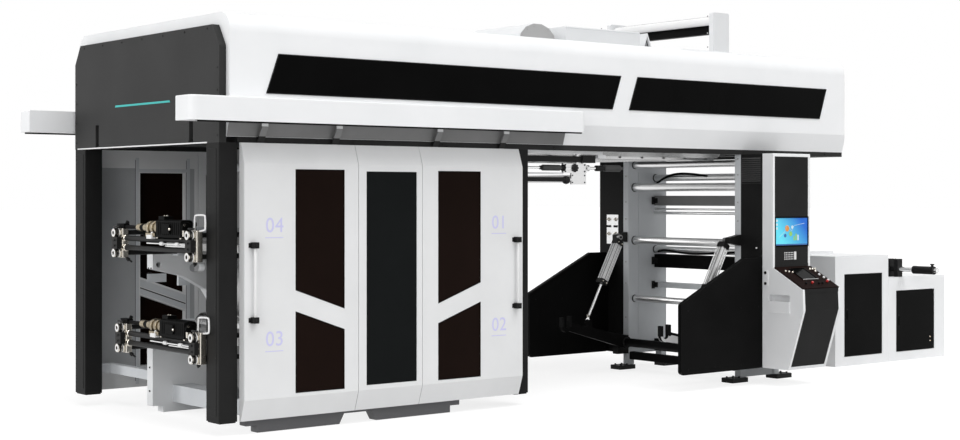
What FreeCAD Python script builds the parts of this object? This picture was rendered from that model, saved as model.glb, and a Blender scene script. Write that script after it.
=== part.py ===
import FreeCAD, Part

import math
import os

from FreeCAD import Rotation, Vector

# A flexographic printing press with a central impression drum: an enclosed print unit, a long
# white hood over it and over the dryer, a winder frame with an operator console, and two
# electrical cabinets. Lengths are millimetres.
# Drawing frame: x runs along the web from the end panel's outer face, y from the front posts'
# outer face to the back, z up from the floor. Everything is shifted when it is written, so that
# the origin is on the floor under the middle of the bounding box.

# Enclosure of the print unit
ENCLOSURE_LENGTH = 3400.0
ENCLOSURE_DEPTH = 2780.0
FLOOR_GAP = 120.0
POST_WIDTH = 178.0
POST_DEPTH = 222.0
POST_EDGE_RADIUS = 10.0
BEAM_Z = 2470.0
BEAM_HEIGHT = 51.0
BEAM_WIDTH = 80.0
CROSS_MEMBER_WIDTH = 80.0
CROSS_MEMBER_INSET = 20.0

# Hood, with heights measured up from the top of the roof beams
HOOD_BOTTOM = BEAM_Z + BEAM_HEIGHT
HOOD_HEIGHT = 1051.0
HOOD_TOP = HOOD_BOTTOM + HOOD_HEIGHT
HOOD_OVERHANG = 60.0
HOOD_SLANT_HEIGHT = 199.0
HOOD_TOP_RADIUS = 165.0
HOOD_END_RADIUS = 40.0
END_PANEL_THICKNESS = 67.0
END_PANEL_BELOW_HOOD = 107.0
END_PANEL_TOP = HOOD_TOP - END_PANEL_BELOW_HOOD
END_CHAMFER_Y = 115.0
END_CHAMFER_Z = 180.0
NOTCH_WIDTH = 70.0
NOTCH_HEIGHT = 220.0
NOTCH_INSET = 480.0

# Door rail and its cover
COVER_OVERHANG_LEFT = 438.0
COVER_OVERHANG_RIGHT = 475.0
COVER_START = -COVER_OVERHANG_LEFT
COVER_END = ENCLOSURE_LENGTH + COVER_OVERHANG_RIGHT
COVER_DEPTH = 258.0
COVER_RISE = 115.0
COVER_HEIGHT = 204.0
COVER_LOW = HOOD_BOTTOM + COVER_RISE
COVER_HIGH = COVER_LOW + COVER_HEIGHT
COVER_THICKNESS = 12.0
COVER_CORNER_RADIUS = 60.0
COVER_EDGE_RADIUS = 12.0
RAIL_WIDTH = 35.0
RAIL_HEIGHT = 50.0
RAIL_RISE = 72.0
RAIL_END_GAP = 10.0
RAIL_BRACKET_WIDTH = 60.0
RAIL_BRACKET_HEIGHT = 30.0
RAIL_BRACKET_COUNT = 7

# Black window strips along the hood
WINDOW_RISE = 50.0
WINDOW_HEIGHT = 343.0
WINDOW_LOW = COVER_HIGH + WINDOW_RISE
WINDOW_HIGH = WINDOW_LOW + WINDOW_HEIGHT
WINDOW_SLANT = 122.0
WINDOW_THICKNESS = 6.0
LEFT_WINDOW_START = 540.0
LEFT_WINDOW_REACH = 1181.0
LEFT_WINDOW_END = ENCLOSURE_LENGTH + LEFT_WINDOW_REACH
WINDOW_SPACING = 230.0
RIGHT_WINDOW_START = LEFT_WINDOW_END + WINDOW_SPACING

# Sliding doors and the fixed panel between them
DOOR_PAN_DEPTH = 90.0
DOOR_BACK_GAP = 6.0
DOOR_SKIN_THICKNESS = 6.0
DOOR_GAP = 5.0
LEFT_DOOR_INSET = 190.0
RIGHT_DOOR_INSET = 150.0
CENTRE_WIDTH = 700.0
LEFT_LEAF_SHARE = 1157.0 / 2350.0
LEFT_DOOR_START = LEFT_DOOR_INSET
RIGHT_DOOR_END = ENCLOSURE_LENGTH - RIGHT_DOOR_INSET
LEAVES_LENGTH = RIGHT_DOOR_END - LEFT_DOOR_START - CENTRE_WIDTH - 2 * DOOR_GAP
LEFT_DOOR_END = LEFT_DOOR_START + LEAVES_LENGTH * LEFT_LEAF_SHARE
CENTRE_START = LEFT_DOOR_END + DOOR_GAP
CENTRE_END = CENTRE_START + CENTRE_WIDTH
RIGHT_DOOR_START = CENTRE_END + DOOR_GAP
DOOR_FOOT_HEIGHT = 180.0
DOOR_HEAD_HEIGHT = 174.0
DOOR_LIP_DEPTH = 30.0
GLASS_THICKNESS = 12.0
GLASS_RECESS = 6.0
FRAME_BAR_WIDTH = 50.0
DOOR_RIM_WIDTH = 45.0
PANE_HEAD_GAP = 220.0
PANE_FOOT_GAP = 209.0
PANE_TOP = BEAM_Z - PANE_HEAD_GAP
PANE_BOTTOM = FLOOR_GAP + PANE_FOOT_GAP
PANE_MIDDLE = 1033.0
PANE_GAP = 180.0
PANE_RISE = 178.0
LEFT_PANE_OUTER = 504.0
LEFT_PANE_INNER = 147.0
RIGHT_PANE_INNER = 177.0
RIGHT_PANE_OUTER = 516.0
CENTRE_PANE_INSET_LEFT = 83.0
CENTRE_PANE_INSET_RIGHT = 61.0
CENTRE_PANE_START = CENTRE_START + CENTRE_PANE_INSET_LEFT
CENTRE_PANE_END = CENTRE_END - CENTRE_PANE_INSET_RIGHT
CENTRE_PANE_INSET_Z = 12.0
HANDLE_EDGE_INSET = 85.0
HANDLE_LOW = 975.0
HANDLE_HIGH = 1605.0
HANDLE_BLOCK_WIDTH = 52.0
HANDLE_DEPTH = 58.0
HANDLE_BAR_WIDTH = 20.0
HANGER_WIDTH = 60.0
HANGER_THICKNESS = 10.0
HANGER_INSET = 170.0
HANGER_SLOT_GAP = 11.0
HANGER_WALL_GAP = 15.0
HANGER_STEP_RISE = 30.0
TAB_THICKNESS = 12.0

# Clearances
RUNNING_GAP = 0.3
MOVING_GAP = 5.0

# Print unit: drum and side frames
DRUM_X = 1440.0
DRUM_Z = 1160.0
DRUM_RADIUS = 650.0
DRUM_SIDE_GAP = 30.0
DRUM_WALL_THICKNESS = 60.0
DRUM_JOURNAL_RADIUS = 90.0
DRUM_HUB_RADIUS = 150.0
FRAME_THICKNESS = 110.0
FRONT_FRAME_Y = 50.0
REAR_FRAME_Y = 1740.0
OUTRIGGER_REACH = 112.0
OUTRIGGER_HEIGHT = 90.0
OUTRIGGER_WIDTH = 70.0
OUTRIGGER_Z = 300.0
FRAME_HALF = DRUM_X - POST_WIDTH - OUTRIGGER_REACH
FOOT_INSET = 110.0
FOOT_HALF = FRAME_HALF - FOOT_INSET
FOOT_STEP = 63.0
RECESS_HALF = 200.0
RECESS_HEIGHT = 90.0
RECESS_CHAMFER = 50.0
LEG_TOP = 624.0
LEG_SLOPE_LENGTH = 140.0
LEG_SLOPE_HEIGHT = 180.0
WAIST_HALF = 480.0
WAIST_HEIGHT = 330.0
ARM_ROOT_LENGTH = 110.0
ARM_ROOT_DROP = 207.0
ARM_SLOPE_LENGTH = 313.0
ARM_SLOPE_DROP = 72.0
ARM_LOW = 1339.0
ARM_HIGH = 1505.0
NECK_SLOPE_LENGTH = 60.0
NECK_SLOPE_HEIGHT = 115.0
HEAD_HALF = 420.0
HEAD_TAPER_HEIGHT = 170.0
ARM_HOLE_RADIUS = 26.0
ARM_HOLE_INSET = 62.0
ARM_HOLE_Z = 1379.0
ARM_SLOT_START = 384.0
ARM_SLOT_LENGTH = 166.0
ARM_SLOT_HEIGHT = 80.0
ARM_SLOT_Z = 1341.0
TIE_RADIUS = 45.0
TIE_BASE_HEIGHT = 160.0
TIE_BASE_WIDTH = 200.0

# Print unit: plate cylinders, anilox rollers and ink chambers
PLATE_RADIUS = 118.0
PLATE_JOURNAL_RADIUS = 32.0
ANILOX_RADIUS = 84.0
ANILOX_JOURNAL_RADIUS = 28.0
CYLINDER_GAP = 2.0
CYLINDER_END_GAP = 10.0
ANILOX_RISE_DEG = 15.0
STATION_HEIGHT = 350.0
CHAMBER_HEIGHT = 90.0
CHAMBER_BACK_HEIGHT = 63.0
CHAMBER_WIDTH = 120.0
CHAMBER_OVERLAP = 8.4

# Print unit: the four decks at its ends
UPPER_DECK_Z = 1595.0
LOWER_DECK_Z = 730.0
UPPER_DECK_REACH = 1510.0
LOWER_DECK_REACH = 1475.0
DECK_BLOCK_START = 960.0
DECK_BLOCK_END = 580.0
DECK_BLOCK_DEPTH = 140.0
DECK_BLOCK_HEIGHT = 260.0
DECK_BLOCK_CHAMFER = 40.0
BRACKET_LENGTH = 60.0
BRACKET_WIDTH = 130.0
BRACKET_HEIGHT = 270.0
BRACKET_EDGE_RADIUS = 8.0
NUT_RADIUS = 38.0
NUT_LENGTH = 60.0
NUT_SPACING = 184.0
NUT_BORE_RADIUS = 16.0
SLIDE_ROD_RADIUS = 22.0
SLIDE_ROD_INSET = 12.0
CROSS_ROD_RADIUS = 24.0
CROSS_ROD_SPACING = 84.0
LOCK_BLOCK_LENGTH = 46.0
LOCK_BLOCK_WIDTH = 94.0
LOCK_BLOCK_GAP = 3.0
MOTOR_BASE_THICKNESS = 10.0
MOTOR_START = 100.0
MOTOR_LENGTH = 440.0
MOTOR_HEIGHT = 140.0
MOTOR_WIDTH = 120.0
MOTOR_EDGE_RADIUS = 24.0
GEARBOX_LENGTH = 240.0
GEARBOX_RADIUS = 58.0
GEARBOX_CORE_RADIUS = 40.0
GEARBOX_RINGS_COUNT = 3
GEARBOX_FOOT_WIDTH = 60.0
COUPLING_LENGTH = 190.0
COUPLING_RADIUS = 32.0

# Winder, which stands an aisle away from the enclosure
AISLE_LENGTH = 3037.0
WINDER_START = ENCLOSURE_LENGTH + AISLE_LENGTH
WINDER_LENGTH = 623.0
WINDER_END = WINDER_START + WINDER_LENGTH
WINDER_THICKNESS = 87.0
WINDER_REAR_Y = 1743.0
FOOT_REACH = 170.0
FOOT_START = WINDER_START - FOOT_REACH
FOOT_END = WINDER_END + FOOT_REACH
FOOT_PAD_LENGTH = 243.0
FOOT_PAD_HEIGHT = 50.0
FOOT_PAD_WIDTH = 165.0
FOOT_HEIGHT = 180.0
WINDER_LEG_WIDTH = 90.0
COVER_BOX_WIDTH = 305.0
REAR_COVER_WIDTH = 402.0
COVER_BOX_INSET = 10.0
COVER_BOX_END = WINDER_END - COVER_BOX_INSET
WING_LENGTH = 1237.0
WING_START = WINDER_START - WING_LENGTH
WING_CREST_LENGTH = 287.0
WING_THICKNESS = 50.0
WING_RISE = 5.0
WING_LOW = FOOT_HEIGHT + WING_RISE
WING_SHOULDER_Z = 910.0
WING_TOP = 1355.0
WING_CORNER_RADIUS = 40.0
ROLLER_JOURNAL_RADIUS = 15.0
ROLLER_JOURNAL_LENGTH = 40.0
ROLLER_JOURNAL_GAP = 5.0
ROLLER_FACE_GAP = 8.0
ROLLER_END_BEVEL = 4.0
NEAR_ROLLER_INSET = 98.0
FAR_ROLLER_INSET = 443.0
NEAR_ROLLERS = ((2380.0, 38.0), (2120.0, 46.0), (1500.0, 46.0), (820.0, 38.0))
FAR_ROLLERS = ((2234.0, 40.0), (1390.0, 40.0))
CROSS_BEAM_INSET = 423.0
CROSS_BEAM_LENGTH = 130.0
CROSS_BEAMS = ((1910.0, 2020.0), (1180.0, 1330.0), (940.0, 1000.0), (195.0, 330.0))

# Hood end, dryer, fans and what stands on the hood
HOOD_PAST_WINDER = 1094.0
HOOD_END = WINDER_END + HOOD_PAST_WINDER
WINDOW_END_INSET = 353.0
RIGHT_WINDOW_END = HOOD_END - WINDOW_END_INSET
DRYER_START_GAP = 20.0
DRYER_END_GAP = 37.0
DRYER_INSET = 260.0
DRYER_HEIGHT = 88.0
DRYER_CHAMFER = 50.0
GUIDE_AWAY = 650.0
GUIDE_START = ENCLOSURE_LENGTH + GUIDE_AWAY
GUIDE_LENGTH = 200.0
GUIDE_LOW = 2136.0
GUIDE_PLATE_HEIGHT = 113.0
GUIDE_BLOCK_HEIGHT = 96.0
GUIDE_BLOCK_REACH = 110.0
GUIDE_THICKNESS = 16.0
GUIDE_FRONT_Y = 100.0
GUIDE_REAR_Y = 1730.0
GUIDE_ROLLER_RADIUS = 38.0
GUIDE_ROLLER_INSET = 48.0
GUIDE_STRAP_WIDTH = 60.0
SCROLL_AWAY = 550.0
SCROLL_X = ENCLOSURE_LENGTH + SCROLL_AWAY
SCROLL_RADIUS = 252.0
SCROLL_SIDES_COUNT = 7
FAN_FRONT_Y = 500.0
FAN_DEPTH = 900.0
FAN_HEIGHT = 198.0
FAN_BOX_AWAY = 386.0
FAN_BOX_START = SCROLL_X + FAN_BOX_AWAY
FAN_BOX_LENGTH = 1064.0
FAN_EDGE_RADIUS = 14.0
GANTRY_AHEAD = 307.0
GANTRY_START = WINDER_START - GANTRY_AHEAD
GANTRY_LENGTH = 250.0
GANTRY_END = GANTRY_START + GANTRY_LENGTH
GANTRY_HEIGHT = 432.0
GANTRY_TOP = HOOD_TOP + GANTRY_HEIGHT
GANTRY_THICKNESS = 60.0
GANTRY_FRONT_Y = 120.0
GANTRY_REAR_Y = 1720.0
GANTRY_BEAM_WIDTH = 80.0
GANTRY_BEAM_HEIGHT = 140.0
GANTRY_BEAM_INSET = 20.0
GANTRY_EDGE_RADIUS = 20.0
GANTRY_ROLLER_INSET = 80.0
GANTRY_ROLLER_DROP = 80.0
GANTRY_ROLLER_RADIUS = 46.0
TENT_AHEAD = 430.0
TENT_START = GANTRY_START - TENT_AHEAD
TENT_LENGTH = 200.0
TENT_HEIGHT = 238.0
TENT_WIDTH = 260.0
TENT_THICKNESS = 12.0

# Reel arms and lift cylinders
ARM_PIVOT_AHEAD = 97.0
ARM_PIVOT_X = WINDER_START - ARM_PIVOT_AHEAD
ARM_PIVOT_Z = 320.0
ARM_TUBE_RADIUS = 48.0
ARM_EYE_RADIUS = 72.0
ARM_THICKNESS = 40.0
ARM_INSET = 30.0
ARM_JOURNAL_RADIUS = 30.0
ARM_JOURNAL_REACH = 50.0
HOOK_AHEAD = 940.0
HOOK_X = ARM_PIVOT_X - HOOK_AHEAD
HOOK_Z = 555.0
HOOK_RADIUS = 70.0
HOOK_MOUTH_RADIUS = 38.0
ARM_NECK_HEIGHT = 46.0
ROD_PIN_AHEAD = 575.0
ROD_PIN_X = ARM_PIVOT_X - ROD_PIN_AHEAD
ROD_PIN_Z = 593.0
ROD_PIN_RADIUS = 14.0
ROD_LUG_HALF = 60.0
ROD_LUG_TOP_HALF = 25.0
OPEN_PIN_GAP = 7.0
BEARING_HALF = 75.0
LIFT_PIVOT_AHEAD = 147.0
LIFT_PIVOT_X = WINDER_START - LIFT_PIVOT_AHEAD
LIFT_PIVOT_Z = 1540.0
LIFT_TUBE_LENGTH = 604.0
LIFT_TUBE_RADIUS = 42.0
LIFT_BORE_RADIUS = 33.0
LIFT_CAP_HALF = 46.0
LIFT_CAP_LENGTH = 46.0
LIFT_NECK_LENGTH = 20.0
LIFT_NECK_RADIUS = 18.0
LIFT_EYE_RADIUS = 30.0
LIFT_EYE_WIDTH = 36.0
LIFT_PIN_RADIUS = 15.0
LIFT_INSET = 8.0
LIFT_EAR_HALF = 60.0
ROD_RADIUS = 15.0
ROD_INSIDE_LENGTH = 190.0
PISTON_LENGTH = 24.0
ROD_EYE_RADIUS = 34.0
ROD_EYE_OVERLAP = 7.0

# Operator console on the front cover of the winder
CONSOLE_INSET = 3.0
CONSOLE_START = WINDER_START + CONSOLE_INSET
CONSOLE_END = COVER_BOX_END
CONSOLE_LOW = 182.0
CONSOLE_RISE = 5.0
CONSOLE_TOP = BEAM_Z + CONSOLE_RISE
TOWER_DEPTH = 143.0
TOWER_FRONT_Y = -(COVER_BOX_WIDTH + TOWER_DEPTH)
DESK_BACK_Z = 1256.0
DESK_DEPTH = 407.0
DESK_FRONT_Y = TOWER_FRONT_Y - DESK_DEPTH
DESK_FRONT_Z = 1036.0
NOSE_LENGTH = 10.0
NOSE_Y = DESK_FRONT_Y - NOSE_LENGTH
NOSE_Z = 818.0
TOE_LENGTH = 205.0
TOE_Y = NOSE_Y + TOE_LENGTH
CONSOLE_FRAME_WIDTH = 32.0
CONSOLE_RECESS_DEPTH = 14.0
PANEL_THICKNESS = 10.0
CONSOLE_EDGE_RADIUS = 10.0
DESK_THICKNESS = 12.0
SCREEN_INSET_X = 50.0
SCREEN_START = CONSOLE_START + SCREEN_INSET_X
SCREEN_WIDTH = 524.0
SCREEN_LOW = 1489.0
SCREEN_HEIGHT = 296.0
SCREEN_RECESS = 6.0
POCKET_BACK_GAP = 91.0
POCKET_WIDTH = 283.0
POCKET_LOW = 790.0
POCKET_HEIGHT = 180.0
POCKET_DEPTH = 60.0

# Electrical cabinets
CABINET_AWAY = 297.0
TALL_START = HOOD_END + CABINET_AWAY
TALL_WIDTH = 1012.0
TALL_HEIGHT = 1304.0
CABINET_JOIN_GAP = 0.3
LOW_START = TALL_START + TALL_WIDTH + CABINET_JOIN_GAP
LOW_WIDTH = 1144.7
LOW_END = LOW_START + LOW_WIDTH
LOW_HEIGHT = 1025.0
CABINET_FRONT_Y = 330.0
CABINET_DEPTH = 900.0
CABINET_THICKNESS = 25.0
CABINET_EDGE_RADIUS = 6.0
CABINET_DOOR_THICKNESS = 22.0
CABINET_DOOR_LOW = 113.0
TALL_DOOR_INSET = 171.0
TALL_DOOR_START = TALL_START + TALL_DOOR_INSET
TALL_DOOR_WIDTH = 708.0
TALL_DOOR_END = TALL_DOOR_START + TALL_DOOR_WIDTH
TALL_DOOR_DROP = 218.0
TALL_DOOR_TOP = TALL_HEIGHT - TALL_DOOR_DROP
LOW_DOOR_INSET = 156.7
LOW_DOOR_START = LOW_START + LOW_DOOR_INSET
LOW_DOOR_WIDTH = 760.0
LOW_DOOR_END = LOW_DOOR_START + LOW_DOOR_WIDTH
LOW_DOOR_DROP = 169.0
LOW_DOOR_TOP = LOW_HEIGHT - LOW_DOOR_DROP
HINGE_INSET = 11.0
HINGE_PIN_RADIUS = 5.0
HINGE_PIN_LENGTH = 14.0
HINGE_PIN_GAP = 2.0
HINGE_COLLAR_RADIUS = 9.0
HINGE_SIDE_GAP = 11.0
LATCH_WIDTH = 34.0
LATCH_HEIGHT = 120.0
LATCH_DEPTH = 8.0
LATCH_INSET = 30.0
GRIP_WIDTH = 14.0
GRIP_HEIGHT = 100.0
GRIP_RECESS = 2.0
LID_LENGTH = 760.0
LID_DEPTH = 260.0
LID_HEIGHT = 34.0
STAND_INSET_Y = 20.0
STAND_FRONT_Y = CABINET_FRONT_Y + STAND_INSET_Y
STAND_THICKNESS = 60.0
STAND_GAP = 60.0
STAND_INSET_X = 256.7
STAND_X = LOW_START + STAND_INSET_X
STAND_HALF = 45.0
STAND_HEIGHT = 221.0
STAND_TOP = LOW_HEIGHT + STAND_HEIGHT
SHAFT_RISE = 95.0
SHAFT_Z = LOW_HEIGHT + SHAFT_RISE
SHAFT_RADIUS = 32.0
SHAFT_REACH = 540.0
SHAFT_TIP_Y = STAND_FRONT_Y - SHAFT_REACH
SLEEVE_RADIUS = 48.0
SLEEVE_INSET = 40.0
SLEEVE_LENGTH = 300.0
SLEEVE_START_Y = SHAFT_TIP_Y + SLEEVE_INSET
KNOB_RADIUS = 16.0
KNOB_INSET = 32.0

# The bounding box in x and y, from the pieces that reach furthest each way
BOX_START_X = COVER_START
BOX_END_X = LOW_END
BOX_START_Y = NOSE_Y
BOX_END_Y = ENCLOSURE_DEPTH + HOOD_OVERHANG + COVER_DEPTH
SHIFT = Vector(-(BOX_START_X + BOX_END_X) / 2.0, -(BOX_START_Y + BOX_END_Y) / 2.0, 0.0)


def box(x0, x1, y0, y1, z0, z1):
    return Part.makeBox(x1 - x0, y1 - y0, z1 - z0, Vector(x0, y0, z0))


def rod_x(y, z, x0, x1, radius):
    return Part.makeCylinder(radius, x1 - x0, Vector(x0, y, z), Vector(1, 0, 0))


def rod_y(x, z, y0, y1, radius):
    return Part.makeCylinder(radius, y1 - y0, Vector(x, y0, z), Vector(0, 1, 0))


def rod_z(x, y, z0, z1, radius):
    return Part.makeCylinder(radius, z1 - z0, Vector(x, y, z0), Vector(0, 0, 1))


def prism_y(outline, y0, y1):
    # Extrudes an outline of (x, z) points from y0 to y1.
    points = [Vector(x, y0, z) for x, z in outline]
    return Part.Face(Part.makePolygon(points + points[:1])).extrude(Vector(0, y1 - y0, 0))


def prism_x(outline, x0, x1):
    # Extrudes an outline of (y, z) points from x0 to x1.
    points = [Vector(x0, y, z) for y, z in outline]
    return Part.Face(Part.makePolygon(points + points[:1])).extrude(Vector(x1 - x0, 0, 0))


def fuse(solids):
    return solids[0].multiFuse(solids[1:]).removeSplitter()


def is_along(edge, direction):
    if not isinstance(edge.Curve, Part.Line):
        return False
    return abs(edge.tangentAt(edge.FirstParameter).dot(direction)) > 0.999


def round_edges(solid, radius, direction, keep):
    # Rounds the straight edges along a direction whose middle point passes the test.
    edges = [e for e in solid.Edges if is_along(e, direction) and keep(e.CenterOfMass)]
    return solid.makeFillet(radius, edges)


def round_box(x0, x1, y0, y1, z0, z1, radius):
    solid = box(x0, x1, y0, y1, z0, z1)
    return solid.makeFillet(radius, solid.Edges)


def to_rear(shape, middle=ENCLOSURE_DEPTH / 2.0):
    # The rear copy of a front piece, mirrored about the enclosure's middle plane.
    return shape.mirror(Vector(0, middle, 0), Vector(0, 1, 0))


def to_right(shape):
    # The right copy of a left piece, mirrored about the drum's upright middle plane.
    return shape.mirror(Vector(DRUM_X, 0, 0), Vector(1, 0, 0))


def solids_of(shapes):
    found = []
    for shape in shapes:
        found.extend(shape.Solids)
    return found


def write(name, shapes):
    # Writes one node, moved from the drawing frame to the part's own frame.
    solids = solids_of(shapes)
    for solid in solids:
        if not solid.isValid():
            raise ValueError(name + " has a solid that isn't valid")
    shape = solids[0] if len(solids) == 1 else Part.makeCompound(solids)
    shape = shape.copy()
    shape.translate(SHIFT)
    shape.exportStep(os.path.join("parts", name + ".step"))


# Enclosure


def end_panel():
    depth = ENCLOSURE_DEPTH
    outline = [
        (0, BEAM_Z),
        (0, END_PANEL_TOP - END_CHAMFER_Z),
        (END_CHAMFER_Y, END_PANEL_TOP),
        (depth - END_CHAMFER_Y, END_PANEL_TOP),
        (depth, END_PANEL_TOP - END_CHAMFER_Z),
        (depth, BEAM_Z),
    ]
    panel = prism_x(outline, 0, END_PANEL_THICKNESS)
    for middle in (NOTCH_INSET, depth - NOTCH_INSET):
        low = middle - NOTCH_WIDTH / 2.0
        notch = box(0, END_PANEL_THICKNESS, low, low + NOTCH_WIDTH, BEAM_Z, BEAM_Z + NOTCH_HEIGHT)
        panel = panel.cut(notch)
    return panel


def posts():
    made = []
    for x0 in (0, ENCLOSURE_LENGTH - POST_WIDTH):
        post = box(x0, x0 + POST_WIDTH, 0, POST_DEPTH, FLOOR_GAP, BEAM_Z)
        post = round_edges(post, POST_EDGE_RADIUS, Vector(0, 0, 1), lambda middle: True)
        made.extend([post, to_rear(post)])
    return made


def roof_beams():
    front = box(POST_WIDTH, HOOD_END, 0, BEAM_WIDTH, BEAM_Z, HOOD_BOTTOM)
    return [front, to_rear(front)]


def roof_cross_members():
    starts = (
        POST_WIDTH,
        DRUM_X + HEAD_HALF,
        ENCLOSURE_LENGTH - CROSS_MEMBER_WIDTH,
        WINDER_START + CROSS_MEMBER_INSET,
        WINDER_END - CROSS_MEMBER_INSET - CROSS_MEMBER_WIDTH,
        HOOD_END - CROSS_MEMBER_WIDTH,
    )
    inner = ENCLOSURE_DEPTH - BEAM_WIDTH
    return [box(x, x + CROSS_MEMBER_WIDTH, BEAM_WIDTH, inner, BEAM_Z, HOOD_BOTTOM) for x in starts]


def hood_shell():
    back = ENCLOSURE_DEPTH
    slant_top = HOOD_BOTTOM + HOOD_SLANT_HEIGHT
    outline = [
        (0, HOOD_BOTTOM),
        (-HOOD_OVERHANG, slant_top),
        (-HOOD_OVERHANG, HOOD_TOP),
        (back + HOOD_OVERHANG, HOOD_TOP),
        (back + HOOD_OVERHANG, slant_top),
        (back, HOOD_BOTTOM),
    ]
    hood = prism_x(outline, END_PANEL_THICKNESS, HOOD_END)
    hood = round_edges(hood, HOOD_TOP_RADIUS, Vector(1, 0, 0), lambda middle: middle.z > HOOD_TOP - 1)
    return round_edges(hood, HOOD_END_RADIUS, Vector(0, 1, 0),
                       lambda middle: middle.z > HOOD_TOP - 1 and middle.x > HOOD_END - 1)


def hood_windows():
    made = []
    for start, end in ((LEFT_WINDOW_START, LEFT_WINDOW_END), (RIGHT_WINDOW_START, RIGHT_WINDOW_END)):
        outline = [
            (start - WINDOW_SLANT, WINDOW_LOW),
            (start, WINDOW_HIGH),
            (end, WINDOW_HIGH),
            (end - WINDOW_SLANT, WINDOW_LOW),
        ]
        plate = prism_y(outline, -HOOD_OVERHANG - WINDOW_THICKNESS, -HOOD_OVERHANG)
        made.extend([plate, to_rear(plate)])
    return made


# Door rails


def rail_low():
    return COVER_LOW + COVER_THICKNESS + RAIL_RISE


def hanger_back():
    # The y of the hanger's upright, which passes between the cover's back wall and the rail.
    return -HOOD_OVERHANG - COVER_THICKNESS - HANGER_WALL_GAP


def rail_back():
    return hanger_back() - HANGER_THICKNESS - MOVING_GAP


def rail_cover():
    front = -HOOD_OVERHANG - COVER_DEPTH
    cover = box(COVER_START, COVER_END, front, -HOOD_OVERHANG, COVER_LOW, COVER_HIGH)
    cover = round_edges(cover, COVER_CORNER_RADIUS, Vector(0, 0, 1), lambda middle: middle.y < front + 1)
    top = [e for e in cover.Edges
           if e.CenterOfMass.z > COVER_HIGH - 1 and e.CenterOfMass.y < -HOOD_OVERHANG - 1]
    cover = cover.makeFillet(COVER_EDGE_RADIUS, top)
    inside = box(COVER_START + COVER_THICKNESS, COVER_END - COVER_THICKNESS, front + COVER_THICKNESS,
                 -HOOD_OVERHANG - COVER_THICKNESS, COVER_LOW + COVER_THICKNESS,
                 COVER_HIGH - COVER_THICKNESS)
    inside = round_edges(inside, COVER_CORNER_RADIUS - COVER_THICKNESS, Vector(0, 0, 1),
                         lambda middle: middle.y < front + COVER_THICKNESS + 1)
    slot = box(COVER_START + COVER_CORNER_RADIUS, COVER_END - COVER_CORNER_RADIUS,
               hanger_back() - HANGER_THICKNESS - HANGER_SLOT_GAP, hanger_back() + HANGER_SLOT_GAP,
               COVER_LOW, COVER_LOW + COVER_THICKNESS)
    return cover.cut(inside).cut(slot)


def door_rail():
    # The rail, held from the cover's front wall so that the hangers pass behind it.
    start = COVER_START + COVER_THICKNESS + RAIL_END_GAP
    end = COVER_END - COVER_THICKNESS - RAIL_END_GAP
    low = rail_low()
    front = -HOOD_OVERHANG - COVER_DEPTH + COVER_THICKNESS
    pieces = [box(start, end, rail_back() - RAIL_WIDTH, rail_back(), low, low + RAIL_HEIGHT)]
    first = COVER_START + COVER_CORNER_RADIUS
    last = COVER_END - COVER_CORNER_RADIUS - RAIL_BRACKET_WIDTH
    step = (last - first) / (RAIL_BRACKET_COUNT - 1)
    bracket_low = low + (RAIL_HEIGHT - RAIL_BRACKET_HEIGHT) / 2.0
    for index in range(RAIL_BRACKET_COUNT):
        x0 = first + index * step
        pieces.append(box(x0, x0 + RAIL_BRACKET_WIDTH, front, rail_back() - RAIL_WIDTH, bracket_low,
                          bracket_low + RAIL_BRACKET_HEIGHT))
    return fuse(pieces)


# Doors


def pan_section(extra):
    # The door's section in y and z: flat front, slanted in at the foot and at the head.
    low = FLOOR_GAP + extra
    high = BEAM_Z - extra
    return [
        (-DOOR_BACK_GAP, low),
        (-DOOR_LIP_DEPTH - extra, low),
        (-DOOR_PAN_DEPTH + extra, FLOOR_GAP + DOOR_FOOT_HEIGHT),
        (-DOOR_PAN_DEPTH + extra, BEAM_Z - DOOR_HEAD_HEIGHT),
        (-DOOR_LIP_DEPTH - extra, high),
        (-DOOR_BACK_GAP, high),
    ]


def pan(x0, x1, panes):
    # A folded pan, open at the back, with its window openings and a bar on each side of them.
    shell = prism_x(pan_section(0), x0, x1)
    pocket_low = FLOOR_GAP + DOOR_FOOT_HEIGHT
    pocket_high = BEAM_Z - DOOR_HEAD_HEIGHT
    pane_start = min(x for pane in panes for x, z in pane)
    pane_end = max(x for pane in panes for x, z in pane)
    hollows = (
        (x0 + DOOR_RIM_WIDTH, pane_start - FRAME_BAR_WIDTH),
        (pane_end + FRAME_BAR_WIDTH, x1 - DOOR_RIM_WIDTH),
    )
    for start, end in hollows:
        if end - start > FRAME_BAR_WIDTH:
            shell = shell.cut(box(start, end, -DOOR_PAN_DEPTH + DOOR_SKIN_THICKNESS, -DOOR_BACK_GAP,
                                  pocket_low, pocket_high))
    for pane in panes:
        shell = shell.cut(prism_y(pane, -DOOR_PAN_DEPTH, -DOOR_BACK_GAP))
    return shell


def panes_of(start, end, rises):
    # An upper and a lower pane whose facing edges slant together.
    middle_start = PANE_MIDDLE + (0 if rises else PANE_RISE)
    middle_end = PANE_MIDDLE + (PANE_RISE if rises else 0)
    upper = [(start, middle_start), (start, PANE_TOP), (end, PANE_TOP), (end, middle_end)]
    lower = [(start, PANE_BOTTOM), (start, middle_start - PANE_GAP), (end, middle_end - PANE_GAP),
             (end, PANE_BOTTOM)]
    return [upper, lower]


def glass(panes):
    back = -DOOR_PAN_DEPTH + GLASS_RECESS + GLASS_THICKNESS
    return [prism_y(pane, -DOOR_PAN_DEPTH + GLASS_RECESS, back) for pane in panes]


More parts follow.
